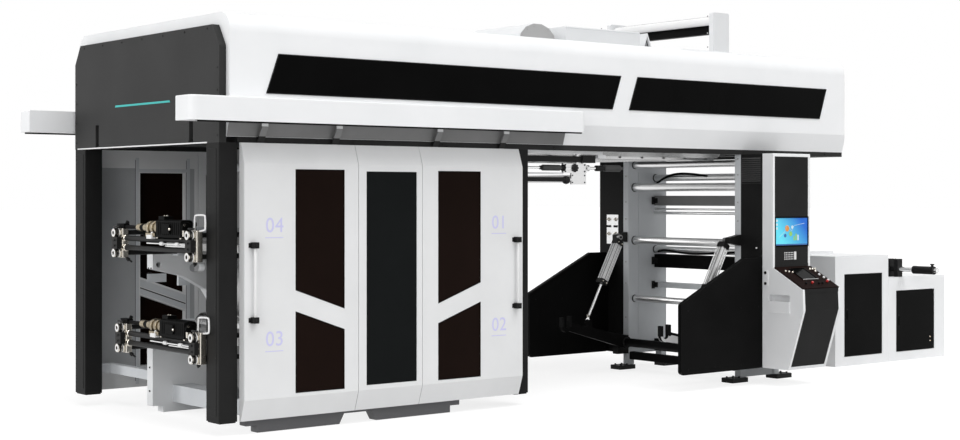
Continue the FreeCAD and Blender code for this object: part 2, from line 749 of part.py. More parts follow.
def hanger(x0):
    # A folded strap: up behind the door's head, out to the cover's slot, up past the rail and
    # over its top.
    back = hanger_back()
    front = back - HANGER_THICKNESS
    knee = COVER_LOW - HANGER_STEP_RISE
    rest = rail_low() + RAIL_HEIGHT + RUNNING_GAP
    tip = rail_back() - RAIL_WIDTH + MOVING_GAP
    root = -DOOR_BACK_GAP
    outline = [
        (root, BEAM_Z - DOOR_RIM_WIDTH),
        (root, BEAM_Z),
        (back, knee),
        (back, rest + HANGER_THICKNESS),
        (tip, rest + HANGER_THICKNESS),
        (tip, rest),
        (front, rest),
        (front, knee),
        (root - HANGER_THICKNESS, BEAM_Z),
        (root - HANGER_THICKNESS, BEAM_Z - DOOR_RIM_WIDTH),
    ]
    return prism_x(outline, x0, x0 + HANGER_WIDTH)


def door_leaf(x0, x1, panes):
    hangers = [hanger(x0 + HANGER_INSET), hanger(x1 - HANGER_INSET - HANGER_WIDTH)]
    return fuse([pan(x0, x1, panes)] + hangers)


def door_handle(x):
    half = HANDLE_BLOCK_WIDTH / 2.0
    pieces = []
    for z in (HANDLE_LOW, HANDLE_HIGH):
        pieces.append(box(x - half, x + half, -DOOR_PAN_DEPTH - HANDLE_DEPTH, -DOOR_PAN_DEPTH, z - half,
                          z + half))
    bar_y = -DOOR_PAN_DEPTH - HANDLE_DEPTH + HANDLE_BAR_WIDTH
    pieces.append(rod_z(x, bar_y, HANDLE_LOW, HANDLE_HIGH, HANDLE_BAR_WIDTH / 2.0))
    return fuse(pieces)


def centre_panes():
    low = PANE_BOTTOM + CENTRE_PANE_INSET_Z
    high = PANE_TOP - CENTRE_PANE_INSET_Z
    return [[
        (CENTRE_PANE_START, low),
        (CENTRE_PANE_START, high),
        (CENTRE_PANE_END, high),
        (CENTRE_PANE_END, low),
    ]]


def centre_panel():
    # Fixed to the roof beam by a tab along its upper back edge.
    panel = pan(CENTRE_START, CENTRE_END, centre_panes())
    tab = box(CENTRE_PANE_START, CENTRE_PANE_END, -TAB_THICKNESS, 0, BEAM_Z - DOOR_RIM_WIDTH,
              BEAM_Z + DOOR_LIP_DEPTH)
    return fuse([panel, tab])


def write_doors():
    left_panes = panes_of(LEFT_DOOR_START + LEFT_PANE_OUTER, LEFT_DOOR_END - LEFT_PANE_INNER, False)
    right_panes = panes_of(RIGHT_DOOR_START + RIGHT_PANE_INNER, RIGHT_DOOR_END - RIGHT_PANE_OUTER, True)
    leaves = (
        ("left", LEFT_DOOR_START, LEFT_DOOR_END, left_panes, LEFT_DOOR_START + HANDLE_EDGE_INSET),
        ("right", RIGHT_DOOR_START, RIGHT_DOOR_END, right_panes, RIGHT_DOOR_END - HANDLE_EDGE_INSET),
    )
    for side, x0, x1, panes, handle_x in leaves:
        leaf = door_leaf(x0, x1, panes)
        sheet = glass(panes)
        handle = door_handle(handle_x)
        write("door_front_" + side, [leaf])
        write("door_rear_" + side, [to_rear(leaf)])
        write("glass_front_" + side, sheet)
        write("glass_rear_" + side, [to_rear(pane) for pane in sheet])
        write("handle_front_" + side, [handle])
        write("handle_rear_" + side, [to_rear(handle)])
    panel = centre_panel()
    sheet = glass(centre_panes())[0]
    write("centre_panels", [panel, to_rear(panel)])
    write("centre_glass", [sheet, to_rear(sheet)])


# Print unit


def side_frame(y0):
    # One casting: a foot on each side, a waist, an arm under each upper deck and a head.
    half = [
        (FOOT_HALF, 0),
        (FOOT_HALF, FOOT_STEP),
        (FRAME_HALF, FOOT_STEP),
        (FRAME_HALF, LEG_TOP),
        (WAIST_HALF + LEG_SLOPE_LENGTH, LEG_TOP),
        (WAIST_HALF, LEG_TOP + LEG_SLOPE_HEIGHT),
        (WAIST_HALF, LEG_TOP + WAIST_HEIGHT),
        (WAIST_HALF + ARM_ROOT_LENGTH, ARM_LOW - ARM_ROOT_DROP),
        (FRAME_HALF - ARM_SLOPE_LENGTH, ARM_LOW - ARM_SLOPE_DROP),
        (FRAME_HALF, ARM_LOW),
        (FRAME_HALF, ARM_HIGH),
        (WAIST_HALF + NECK_SLOPE_LENGTH, ARM_HIGH),
        (WAIST_HALF, ARM_HIGH + NECK_SLOPE_HEIGHT),
        (WAIST_HALF, BEAM_Z - HEAD_TAPER_HEIGHT),
        (HEAD_HALF, BEAM_Z),
    ]
    recess = [
        (-RECESS_HALF + RECESS_CHAMFER, RECESS_HEIGHT),
        (-RECESS_HALF, 0),
    ]
    left = [(DRUM_X - x, z) for x, z in half]
    right = [(DRUM_X + x, z) for x, z in reversed(half)]
    low_right = [(DRUM_X - x, z) for x, z in reversed(recess)]
    low_left = [(DRUM_X + x, z) for x, z in recess]
    frame = prism_y(left + right + low_right + low_left, y0, y0 + FRAME_THICKNESS)
    cuts = []
    for side in (-1, 1):
        hole_x = DRUM_X + side * (FRAME_HALF - ARM_HOLE_INSET)
        cuts.append(rod_y(hole_x, ARM_HOLE_Z, y0, y0 + FRAME_THICKNESS, ARM_HOLE_RADIUS))
        middle = DRUM_X + side * (FRAME_HALF - ARM_SLOT_START - ARM_SLOT_LENGTH / 2.0)
        reach = (ARM_SLOT_LENGTH - ARM_SLOT_HEIGHT) / 2.0
        for end in (-reach, reach):
            cuts.append(rod_y(middle + end, ARM_SLOT_Z, y0, y0 + FRAME_THICKNESS, ARM_SLOT_HEIGHT / 2.0))
        cuts.append(box(middle - reach, middle + reach, y0, y0 + FRAME_THICKNESS,
                        ARM_SLOT_Z - ARM_SLOT_HEIGHT / 2.0, ARM_SLOT_Z + ARM_SLOT_HEIGHT / 2.0))
    return frame.cut(fuse(cuts[:1] + cuts[1:4]).fuse(fuse(cuts[4:])))


def inner_front():
    return FRONT_FRAME_Y + FRAME_THICKNESS


def frame_ties():
    # Beams between the two side frames, and the outriggers that hold the enclosure's posts.
    made = []
    tie_x = FOOT_HALF - TIE_BASE_WIDTH
    for side in (-1, 1):
        middle = DRUM_X + side * tie_x
        made.append(box(middle - TIE_BASE_WIDTH / 2.0, middle + TIE_BASE_WIDTH / 2.0, inner_front(),
                        REAR_FRAME_Y, RECESS_HEIGHT, RECESS_HEIGHT + TIE_BASE_HEIGHT))
        made.append(rod_y(DRUM_X + side * (HEAD_HALF - 2 * TIE_RADIUS), BEAM_Z - 4 * TIE_RADIUS,
                          inner_front(), REAR_FRAME_Y, TIE_RADIUS))
    made.extend(outriggers())
    return made


def outriggers():
    made = []
    frame_left = DRUM_X - FRAME_HALF
    frame_right = DRUM_X + FRAME_HALF
    low = OUTRIGGER_Z
    high = low + OUTRIGGER_HEIGHT
    y0 = FRONT_FRAME_Y + (FRAME_THICKNESS - OUTRIGGER_WIDTH) / 2.0
    right_post = ENCLOSURE_LENGTH - POST_WIDTH
    made.append(box(POST_WIDTH, frame_left, y0, y0 + OUTRIGGER_WIDTH, low, high))
    made.append(box(frame_right, right_post, y0, y0 + OUTRIGGER_WIDTH, low, high))
    made.extend(rear_outrigger(frame_left, frame_left + OUTRIGGER_WIDTH, POST_WIDTH, frame_left))
    made.extend(rear_outrigger(frame_right - OUTRIGGER_WIDTH, frame_right, frame_right, right_post))
    return made


def rear_outrigger(arm_x0, arm_x1, reach_x0, reach_x1):
    # Two bars in an L: back from the rear side frame, then along to the rear post's inner side.
    low = OUTRIGGER_Z
    high = low + OUTRIGGER_HEIGHT
    back = ENCLOSURE_DEPTH - (POST_DEPTH + OUTRIGGER_WIDTH) / 2.0
    arm = box(arm_x0, arm_x1, REAR_FRAME_Y + FRAME_THICKNESS, back + OUTRIGGER_WIDTH, low, high)
    reach = box(reach_x0, reach_x1, back, back + OUTRIGGER_WIDTH, low, high)
    return [arm, reach]


def impression_drum():
    # A drum with end walls, hubs and journals that reach the side frames.
    face_front = inner_front() + DECK_BLOCK_DEPTH + DRUM_SIDE_GAP
    face_rear = REAR_FRAME_Y - DECK_BLOCK_DEPTH - DRUM_SIDE_GAP
    drum = rod_y(DRUM_X, DRUM_Z, face_front, face_rear, DRUM_RADIUS)
    for y0 in (face_front, face_rear - DRUM_WALL_THICKNESS):
        y1 = y0 + DRUM_WALL_THICKNESS
        ring = rod_y(DRUM_X, DRUM_Z, y0, y1, DRUM_RADIUS - DRUM_WALL_THICKNESS)
        hub = rod_y(DRUM_X, DRUM_Z, y0, y1, DRUM_HUB_RADIUS)
        drum = drum.cut(ring.cut(hub))
    journal = rod_y(DRUM_X, DRUM_Z, inner_front(), REAR_FRAME_Y, DRUM_JOURNAL_RADIUS)
    return fuse([drum, journal])


def station_points():
    # Centres of the plate cylinder and the anilox roller of an upper left deck, from the drum.
    reach = DRUM_RADIUS + PLATE_RADIUS + CYLINDER_GAP
    plate_x = DRUM_X - math.sqrt(reach * reach - STATION_HEIGHT * STATION_HEIGHT)
    plate_z = STATION_HEIGHT
    gap = PLATE_RADIUS + ANILOX_RADIUS + CYLINDER_GAP
    anilox_z = plate_z + gap * math.sin(math.radians(ANILOX_RISE_DEG))
    anilox_x = plate_x - gap * math.cos(math.radians(ANILOX_RISE_DEG))
    return (plate_x, plate_z), (anilox_x, anilox_z)


def roller_with_journals(x, z, radius, journal):
    face_front = inner_front() + DECK_BLOCK_DEPTH
    face_rear = REAR_FRAME_Y - DECK_BLOCK_DEPTH
    body = rod_y(x, z, face_front + CYLINDER_END_GAP, face_rear - CYLINDER_END_GAP, radius)
    return fuse([body, rod_y(x, z, face_front, face_rear, journal)])


def four_stations(make):
    # The upper and lower, left and right copies of one station piece, made at (x, z).
    made = []
    for up in (1, -1):
        piece = make(up)
        made.extend([piece, to_right(piece)])
    return made


def plate_cylinders():
    x, z = station_points()[0]
    return four_stations(
        lambda up: roller_with_journals(x, DRUM_Z + up * z, PLATE_RADIUS, PLATE_JOURNAL_RADIUS))


def anilox_rollers():
    x, z = station_points()[1]
    return four_stations(
        lambda up: roller_with_journals(x, DRUM_Z + up * z, ANILOX_RADIUS, ANILOX_JOURNAL_RADIUS))


def doctor_chambers():
    # The ink chamber that lies against each anilox roller, with its two blade lips.
    x, z = station_points()[1]
    front = inner_front() + DECK_BLOCK_DEPTH
    rear = REAR_FRAME_Y - DECK_BLOCK_DEPTH

    def chamber(up):
        middle = DRUM_Z + up * z
        edge = x - ANILOX_RADIUS + CHAMBER_OVERLAP
        block = prism_y([
            (edge - CHAMBER_WIDTH, middle - CHAMBER_BACK_HEIGHT / 2.0),
            (edge - CHAMBER_WIDTH, middle + CHAMBER_BACK_HEIGHT / 2.0),
            (edge, middle + CHAMBER_HEIGHT / 2.0),
            (edge, middle - CHAMBER_HEIGHT / 2.0),
        ], front, rear)
        return block.cut(rod_y(x, middle, front, rear, ANILOX_RADIUS + RUNNING_GAP))

    return four_stations(chamber)


def deck_levels():
    # Each deck's middle height and how far its brackets stand from the drum's middle plane.
    return ((UPPER_DECK_Z, UPPER_DECK_REACH), (LOWER_DECK_Z, LOWER_DECK_REACH))


def deck_blocks():
    # Bearing blocks on the inner faces of the side frames, one pair for each deck.
    made = []
    for z, reach in deck_levels():
        outline = [
            (DRUM_X - DECK_BLOCK_START, z - DECK_BLOCK_HEIGHT / 2.0),
            (DRUM_X - DECK_BLOCK_START, z + DECK_BLOCK_HEIGHT / 2.0 - DECK_BLOCK_CHAMFER),
            (DRUM_X - DECK_BLOCK_START + DECK_BLOCK_CHAMFER, z + DECK_BLOCK_HEIGHT / 2.0),
            (DRUM_X - DECK_BLOCK_END, z + DECK_BLOCK_HEIGHT / 2.0),
            (DRUM_X - DECK_BLOCK_END, z - DECK_BLOCK_HEIGHT / 2.0),
        ]
        for y0 in (inner_front(), REAR_FRAME_Y - DECK_BLOCK_DEPTH):
            block = prism_y(outline, y0, y0 + DECK_BLOCK_DEPTH)
            made.extend([block, to_right(block)])
    return made


def bracket_middles():
    # The y of the bracket at each end of a deck.
    front = inner_front() + DECK_BLOCK_DEPTH - SLIDE_ROD_RADIUS - SLIDE_ROD_INSET
    rear = REAR_FRAME_Y - DECK_BLOCK_DEPTH + SLIDE_ROD_RADIUS + SLIDE_ROD_INSET
    return (front, rear)


def deck_brackets():
    # Nickelled end brackets, each with two long nuts on its outer face.
    made = []
    for z, reach in deck_levels():
        x0 = DRUM_X - reach - BRACKET_LENGTH / 2.0
        for y in bracket_middles():
            block = round_box(x0, x0 + BRACKET_LENGTH, y - BRACKET_WIDTH / 2.0, y + BRACKET_WIDTH / 2.0,
                              z - BRACKET_HEIGHT / 2.0, z + BRACKET_HEIGHT / 2.0, BRACKET_EDGE_RADIUS)
            pieces = [block]
            for nut_z in (z - NUT_SPACING / 2.0, z + NUT_SPACING / 2.0):
                pieces.append(rod_x(y, nut_z, x0 - NUT_LENGTH, x0 + BRACKET_EDGE_RADIUS, NUT_RADIUS))
            bracket = fuse(pieces)
            for nut_z in (z - NUT_SPACING / 2.0, z + NUT_SPACING / 2.0):
                bracket = bracket.cut(rod_x(y, nut_z, x0 - NUT_LENGTH, x0 - NUT_LENGTH / 2.0,
                                            NUT_BORE_RADIUS))
            made.extend([bracket, to_right(bracket)])
    return made


def deck_rods():
    # Slide rods from the brackets to the bearing blocks, cross rods between the brackets, and
    # the lock block on each bracket's outer face.
    made = []
    front, rear = bracket_middles()
    for z, reach in deck_levels():
        x_middle = DRUM_X - reach
        inner_x = x_middle + BRACKET_LENGTH / 2.0
        outer_x = x_middle - BRACKET_LENGTH / 2.0
        for y in (front, rear):
            for rod_z_pos in (z - NUT_SPACING / 2.0, z + NUT_SPACING / 2.0):
                made.append(rod_x(y, rod_z_pos, inner_x, DRUM_X - DECK_BLOCK_START, SLIDE_ROD_RADIUS))
            half = NUT_SPACING / 2.0 - NUT_RADIUS - LOCK_BLOCK_GAP
            made.append(box(outer_x - LOCK_BLOCK_LENGTH, outer_x, y - LOCK_BLOCK_WIDTH / 2.0,
                            y + LOCK_BLOCK_WIDTH / 2.0, z - half, z + half))
        for rod_z_pos in (z - CROSS_ROD_SPACING / 2.0, z + CROSS_ROD_SPACING / 2.0):
            made.append(rod_y(x_middle, rod_z_pos, front + BRACKET_WIDTH / 2.0,
                              rear - BRACKET_WIDTH / 2.0, CROSS_ROD_RADIUS))
    return made + [to_right(piece) for piece in made]


def deck_motors():
    # Motor, gearbox and coupling on a plate that rests on the upper cross rod.
    made = []
    front = bracket_middles()[0] + BRACKET_WIDTH / 2.0
    for z, reach in deck_levels():
        x = DRUM_X - reach
        base = z + CROSS_ROD_SPACING / 2.0 + CROSS_ROD_RADIUS
        start = front + MOTOR_START
        end = start + MOTOR_LENGTH
        top = base + MOTOR_BASE_THICKNESS
        plate = box(x - MOTOR_WIDTH / 2.0, x + MOTOR_WIDTH / 2.0, start, end + GEARBOX_LENGTH,
                    base, top)
        motor = box(x - MOTOR_WIDTH / 2.0, x + MOTOR_WIDTH / 2.0, start, end, top, top + MOTOR_HEIGHT)
        motor = round_edges(motor, MOTOR_EDGE_RADIUS, Vector(0, 1, 0), lambda middle: middle.z > top + 1)
        axis_z = top + MOTOR_HEIGHT / 2.0
        ring_end = end + GEARBOX_LENGTH
        pieces = [plate, motor]
        ring = GEARBOX_LENGTH / GEARBOX_RINGS_COUNT
        for index in range(GEARBOX_RINGS_COUNT):
            y0 = end + index * ring
            pieces.append(rod_y(x, axis_z, y0, y0 + ring / 2.0, GEARBOX_RADIUS))
        pieces.append(rod_y(x, axis_z, end, ring_end, GEARBOX_CORE_RADIUS))
        pieces.append(box(x - GEARBOX_FOOT_WIDTH / 2.0, x + GEARBOX_FOOT_WIDTH / 2.0, end, ring_end, top,
                          axis_z))
        pieces.append(rod_y(x, axis_z, ring_end, ring_end + COUPLING_LENGTH, COUPLING_RADIUS))
        unit = fuse(pieces)
        made.extend([unit, to_right(unit)])
    return made


# Dryer and the pieces on top of the hood


def dryer_low():
    return HOOD_BOTTOM - DRYER_HEIGHT


def dryer_tunnel():
    low = dryer_low()
    start = ENCLOSURE_LENGTH + DRYER_START_GAP
    end = WINDER_START - DRYER_END_GAP
    front = DRYER_INSET
    rear = ENCLOSURE_DEPTH - DRYER_INSET
    return prism_x([
        (front, HOOD_BOTTOM),
        (front, low + DRYER_CHAMFER),
        (front + DRYER_CHAMFER, low),
        (rear - DRYER_CHAMFER, low),
        (rear, low + DRYER_CHAMFER),
        (rear, HOOD_BOTTOM),
    ], start, end)


def fan_scroll():
    # A half disc with flat facets, axis across the hood.
    outline = []
    for index in range(SCROLL_SIDES_COUNT + 1):
        angle = math.pi * index / SCROLL_SIDES_COUNT
        outline.append((SCROLL_X + SCROLL_RADIUS * math.cos(angle),
                        HOOD_TOP + FAN_HEIGHT * math.sin(angle)))
    return prism_y(outline, FAN_FRONT_Y, FAN_FRONT_Y + FAN_DEPTH)


def fan_box():
    solid = box(FAN_BOX_START, FAN_BOX_START + FAN_BOX_LENGTH, FAN_FRONT_Y, FAN_FRONT_Y + FAN_DEPTH,
                HOOD_TOP, HOOD_TOP + FAN_HEIGHT)
    top = [e for e in solid.Edges if e.CenterOfMass.z > HOOD_TOP + FAN_HEIGHT - 1]
    return solid.makeFillet(FAN_EDGE_RADIUS, top)


def gantry_roller_place():
    return GANTRY_START + GANTRY_ROLLER_INSET, GANTRY_TOP - GANTRY_ROLLER_DROP


def gantry():
    # Two upright plates with a beam between them, and a blind bore in each for the roller.
    pieces = []
    x, z = gantry_roller_place()
    depth = ROLLER_JOURNAL_LENGTH + ROLLER_JOURNAL_GAP
    front_inner = GANTRY_FRONT_Y + GANTRY_THICKNESS
    for y0, bore_y in ((GANTRY_FRONT_Y, front_inner - depth), (GANTRY_REAR_Y, GANTRY_REAR_Y)):
        plate = box(GANTRY_START, GANTRY_END, y0, y0 + GANTRY_THICKNESS, HOOD_TOP, GANTRY_TOP)
        plate = round_edges(plate, GANTRY_EDGE_RADIUS, Vector(0, 1, 0),
                            lambda middle: middle.z > GANTRY_TOP - 1)
        pieces.append(plate.cut(rod_y(x, z, bore_y, bore_y + depth, ROLLER_JOURNAL_RADIUS + RUNNING_GAP)))
    beam_end = GANTRY_END - GANTRY_BEAM_INSET
    beam_top = GANTRY_TOP - GANTRY_BEAM_INSET
    pieces.append(box(beam_end - GANTRY_BEAM_WIDTH, beam_end, front_inner, GANTRY_REAR_Y,
                      beam_top - GANTRY_BEAM_HEIGHT, beam_top))
    return fuse(pieces)


def web_tent():
    # A folded sheet that stands on the hood like an upturned V.
    middle = TENT_START + TENT_LENGTH / 2.0
    outline = [
        (TENT_START, HOOD_TOP),
        (middle, HOOD_TOP + TENT_HEIGHT),
        (TENT_START + TENT_LENGTH, HOOD_TOP),
        (TENT_START + TENT_LENGTH - 2 * TENT_THICKNESS, HOOD_TOP),
        (middle, HOOD_TOP + TENT_HEIGHT - 3 * TENT_THICKNESS),
        (TENT_START + 2 * TENT_THICKNESS, HOOD_TOP),
    ]
    y0 = (GANTRY_FRONT_Y + GANTRY_REAR_Y - TENT_WIDTH) / 2.0
    return prism_y(outline, y0, y0 + TENT_WIDTH)


def web_guide():
    # Two end plates hung by straps from the roof beam and the dryer, with a tube between them.
    # Each plate has a wider block on top, for the guide's actuator.
    pieces = []
    middle = GUIDE_START + GUIDE_LENGTH / 2.0
    half = GUIDE_STRAP_WIDTH / 2.0
    end = GUIDE_START + GUIDE_LENGTH
    step = GUIDE_LOW + GUIDE_PLATE_HEIGHT
    high = step + GUIDE_BLOCK_HEIGHT
    for y0, top in ((GUIDE_FRONT_Y, HOOD_BOTTOM), (GUIDE_REAR_Y, dryer_low())):
        y1 = y0 + GUIDE_THICKNESS
        pieces.append(box(GUIDE_START, end, y0, y1, GUIDE_LOW, step))
        pieces.append(box(GUIDE_START - GUIDE_BLOCK_REACH, end, y0, y1, step, high))
        pieces.append(box(middle - half, middle + half, y0, y1, high, top))
    pieces.append(rod_y(GUIDE_START + GUIDE_ROLLER_INSET, GUIDE_LOW + GUIDE_PLATE_HEIGHT / 2.0,
                        GUIDE_FRONT_Y + GUIDE_THICKNESS, GUIDE_REAR_Y, GUIDE_ROLLER_RADIUS))
    return fuse(pieces)


# Winder


def roller_places():
    near = [(WINDER_START + NEAR_ROLLER_INSET, z, radius) for z, radius in NEAR_ROLLERS]
    far = [(WINDER_START + FAR_ROLLER_INSET, z, radius) for z, radius in FAR_ROLLERS]
    return near + far


def turning_roller(x, z, radius, face_front, face_rear):
    body = rod_y(x, z, face_front, face_rear, radius)
    rims = [e for e in body.Edges if isinstance(e.Curve, Part.Circle)]
    body = body.makeChamfer(ROLLER_END_BEVEL, rims)
    reach = ROLLER_FACE_GAP + ROLLER_JOURNAL_LENGTH
    return fuse([body, rod_y(x, z, face_front - reach, face_rear + reach, ROLLER_JOURNAL_RADIUS)])


def winder_plates():
    # Two upright plates with a blind bore on the inner face for each roller's journal.
    made = []
    depth = ROLLER_JOURNAL_LENGTH + ROLLER_JOURNAL_GAP
    for y0, bore_y in ((0, WINDER_THICKNESS - depth), (WINDER_REAR_Y, WINDER_REAR_Y)):
        plate = box(WINDER_START, WINDER_END, y0, y0 + WINDER_THICKNESS, FOOT_HEIGHT, BEAM_Z)
        for x, z, radius in roller_places():
            plate = plate.cut(rod_y(x, z, bore_y, bore_y + depth, ROLLER_JOURNAL_RADIUS + RUNNING_GAP))
        made.append(plate)
    return made


def winder_feet():
    # A flat pad under each leg, which reaches out past the winder plate.
    made = []
    for y0 in (0, WINDER_REAR_Y):
        low_y = y0 + (WINDER_THICKNESS - FOOT_PAD_WIDTH) / 2.0
        for x0 in (FOOT_START, FOOT_END - FOOT_PAD_LENGTH):
            made.append(box(x0, x0 + FOOT_PAD_LENGTH, low_y, low_y + FOOT_PAD_WIDTH, 0, FOOT_PAD_HEIGHT))
    return made


def winder_legs():
    made = []
    for y0 in (0, WINDER_REAR_Y):
        for x0 in (WINDER_START, WINDER_END - WINDER_LEG_WIDTH):
            made.append(box(x0, x0 + WINDER_LEG_WIDTH, y0, y0 + WINDER_THICKNESS, FOOT_PAD_HEIGHT,
                            FOOT_HEIGHT))
    return made


def winder_cross_beams():
    start = WINDER_START + CROSS_BEAM_INSET
    return [box(start, start + CROSS_BEAM_LENGTH, WINDER_THICKNESS, WINDER_REAR_Y, low, high)
            for low, high in CROSS_BEAMS]


def outer_covers():
    rear = WINDER_REAR_Y + WINDER_THICKNESS
    spans = ((-COVER_BOX_WIDTH, 0), (rear, rear + REAR_COVER_WIDTH))
    return [box(WINDER_START, COVER_BOX_END, y0, y1, FOOT_HEIGHT, BEAM_Z) for y0, y1 in spans]


def wing_guards():
    outline = [
        (WING_START, WING_LOW),
        (WING_START, WING_SHOULDER_Z),
        (WINDER_START - WING_CREST_LENGTH, WING_TOP),
        (WINDER_START, WING_TOP),
        (WINDER_START, WING_LOW),
    ]
    made = []
    for y0 in (-COVER_BOX_WIDTH, WINDER_REAR_Y + WINDER_THICKNESS + COVER_BOX_WIDTH - WING_THICKNESS):
        wing = prism_y(outline, y0, y0 + WING_THICKNESS)
        wing = round_edges(wing, WING_CORNER_RADIUS, Vector(0, 1, 0),
                           lambda middle: middle.x < WING_START + 1)
        made.append(wing)
    return made


# Reel arms


def arm_planes():
    # The y where each reel arm's plate starts.
    return (WINDER_THICKNESS + ARM_INSET, WINDER_REAR_Y - ARM_INSET - ARM_THICKNESS)


def reel_arm(y0):
    # A long plate that narrows from the pivot to an open hook.
    hook = Vector(HOOK_X, y0, HOOK_Z)
    pivot = Vector(ARM_PIVOT_X, y0, ARM_PIVOT_Z)
    along = (hook - pivot).normalize()
    across = Vector(-along.z, 0, along.x)
    if across.z < 0:
        across = across * -1.0
    wide = ARM_EYE_RADIUS
    corners = [pivot + across * wide, hook + across * ARM_NECK_HEIGHT, hook - across * ARM_NECK_HEIGHT,
               pivot - across * wide]
    plate = prism_y([(c.x, c.z) for c in corners], y0, y0 + ARM_THICKNESS)
    pieces = [plate, rod_y(HOOK_X, HOOK_Z, y0, y0 + ARM_THICKNESS, HOOK_RADIUS),
              rod_y(ARM_PIVOT_X, ARM_PIVOT_Z, y0, y0 + ARM_THICKNESS, wide)]
    lug_foot = pivot + along * (Vector(ROD_PIN_X, y0, ROD_PIN_Z) - pivot).dot(along)
    pieces.append(prism_y([
        (lug_foot.x - ROD_LUG_HALF, lug_foot.z),
        (ROD_PIN_X - ROD_LUG_TOP_HALF, ROD_PIN_Z + ROD_PIN_RADIUS),
        (ROD_PIN_X + ROD_LUG_TOP_HALF, ROD_PIN_Z + ROD_PIN_RADIUS),
        (lug_foot.x + ROD_LUG_HALF, lug_foot.z),
    ], y0, y0 + ARM_THICKNESS))
    arm = fuse(pieces)
    mouth = fuse([rod_y(HOOK_X, HOOK_Z, y0, y0 + ARM_THICKNESS, HOOK_MOUTH_RADIUS),
                  box(HOOK_X - HOOK_MOUTH_RADIUS, HOOK_X + HOOK_MOUTH_RADIUS, y0, y0 + ARM_THICKNESS,
                      HOOK_Z, HOOK_Z + 2 * HOOK_RADIUS)])
    return arm.cut(mouth)


def pin_spans():
    # The y span of each rod pin, outward from its arm over the cylinder's eye.
    front, rear = arm_planes()
    reach = LIFT_INSET + LIFT_EYE_WIDTH + LIFT_INSET
    return ((front - reach, front), (rear + ARM_THICKNESS, rear + ARM_THICKNESS + reach))


def reel_arms():
    front, rear = arm_planes()
    pieces = [reel_arm(front), reel_arm(rear)]
    pieces.append(rod_y(ARM_PIVOT_X, ARM_PIVOT_Z, front, rear + ARM_THICKNESS, ARM_TUBE_RADIUS))
    pieces.append(rod_y(ARM_PIVOT_X, ARM_PIVOT_Z, front - ARM_JOURNAL_REACH,
                        rear + ARM_THICKNESS + ARM_JOURNAL_REACH, ARM_JOURNAL_RADIUS))
    for y0, y1 in pin_spans():
        pieces.append(rod_y(ROD_PIN_X, ROD_PIN_Z, y0, y1, ROD_PIN_RADIUS))
    return fuse(pieces)


def arm_bearings():
    # A bearing arm on the left edge of each winder plate, for the torque tube's journal.
    made = []
    for y0 in (0, WINDER_REAR_Y):
        block = box(ARM_PIVOT_X - BEARING_HALF, WINDER_START, y0, y0 + WINDER_THICKNESS,
                    FOOT_HEIGHT + RUNNING_GAP, ARM_PIVOT_Z + BEARING_HALF)
        bore = rod_y(ARM_PIVOT_X, ARM_PIVOT_Z, y0, y0 + WINDER_THICKNESS, ARM_JOURNAL_RADIUS + RUNNING_GAP)
        made.append(block.cut(bore))
    return made


def lift_direction():
    # Unit vector from the cylinder's upper pivot to the rod pin, in x and z.
    down = Vector(ROD_PIN_X - LIFT_PIVOT_X, 0, ROD_PIN_Z - LIFT_PIVOT_Z)
    return down.normalize()


def lift_middles():
    # The y of each cylinder's middle plane, outside its reel arm.
    front, rear = arm_planes()
    offset = LIFT_INSET + LIFT_EYE_WIDTH / 2.0
    return (front - offset, rear + ARM_THICKNESS + offset)


def along_lift(y, start, end, radius):
    direction = lift_direction()
    base = Vector(LIFT_PIVOT_X, y, LIFT_PIVOT_Z) + direction * start
    return Part.makeCylinder(radius, end - start, base, direction)


def lift_block(y, start, end, half):
    # A square cap on the cylinder's axis.
    block = Part.makeBox(end - start, 2 * half, 2 * half, Vector(start, -half, -half))
    direction = lift_direction()
    block.Placement = FreeCAD.Placement(Vector(LIFT_PIVOT_X, y, LIFT_PIVOT_Z),
                                        Rotation(Vector(1, 0, 0), direction))
    return block


def lift_cylinders():
    made = []
    gap = MOVING_GAP
    for y in lift_middles():
        first_cap = LIFT_EYE_RADIUS + LIFT_NECK_LENGTH
        pieces = [
            rod_y(LIFT_PIVOT_X, LIFT_PIVOT_Z, y - LIFT_EYE_WIDTH / 2.0, y + LIFT_EYE_WIDTH / 2.0,
                  LIFT_EYE_RADIUS),
            along_lift(y, 0, first_cap, LIFT_NECK_RADIUS),
            lift_block(y, first_cap, first_cap + LIFT_CAP_LENGTH, LIFT_CAP_HALF),
            along_lift(y, first_cap, LIFT_TUBE_LENGTH, LIFT_TUBE_RADIUS),
            lift_block(y, LIFT_TUBE_LENGTH - LIFT_CAP_LENGTH, LIFT_TUBE_LENGTH, LIFT_CAP_HALF),
        ]
        body = fuse(pieces)
        body = body.cut(along_lift(y, first_cap + LIFT_CAP_LENGTH, LIFT_TUBE_LENGTH - LIFT_CAP_LENGTH,
                                   LIFT_BORE_RADIUS))
        body = body.cut(along_lift(y, LIFT_TUBE_LENGTH - LIFT_CAP_LENGTH - gap, LIFT_TUBE_LENGTH + gap,
                                   ROD_RADIUS + RUNNING_GAP))
        body = body.cut(rod_y(LIFT_PIVOT_X, LIFT_PIVOT_Z, y - LIFT_EYE_WIDTH, y + LIFT_EYE_WIDTH,
                              LIFT_PIN_RADIUS + RUNNING_GAP))
        made.append(body)
    return made


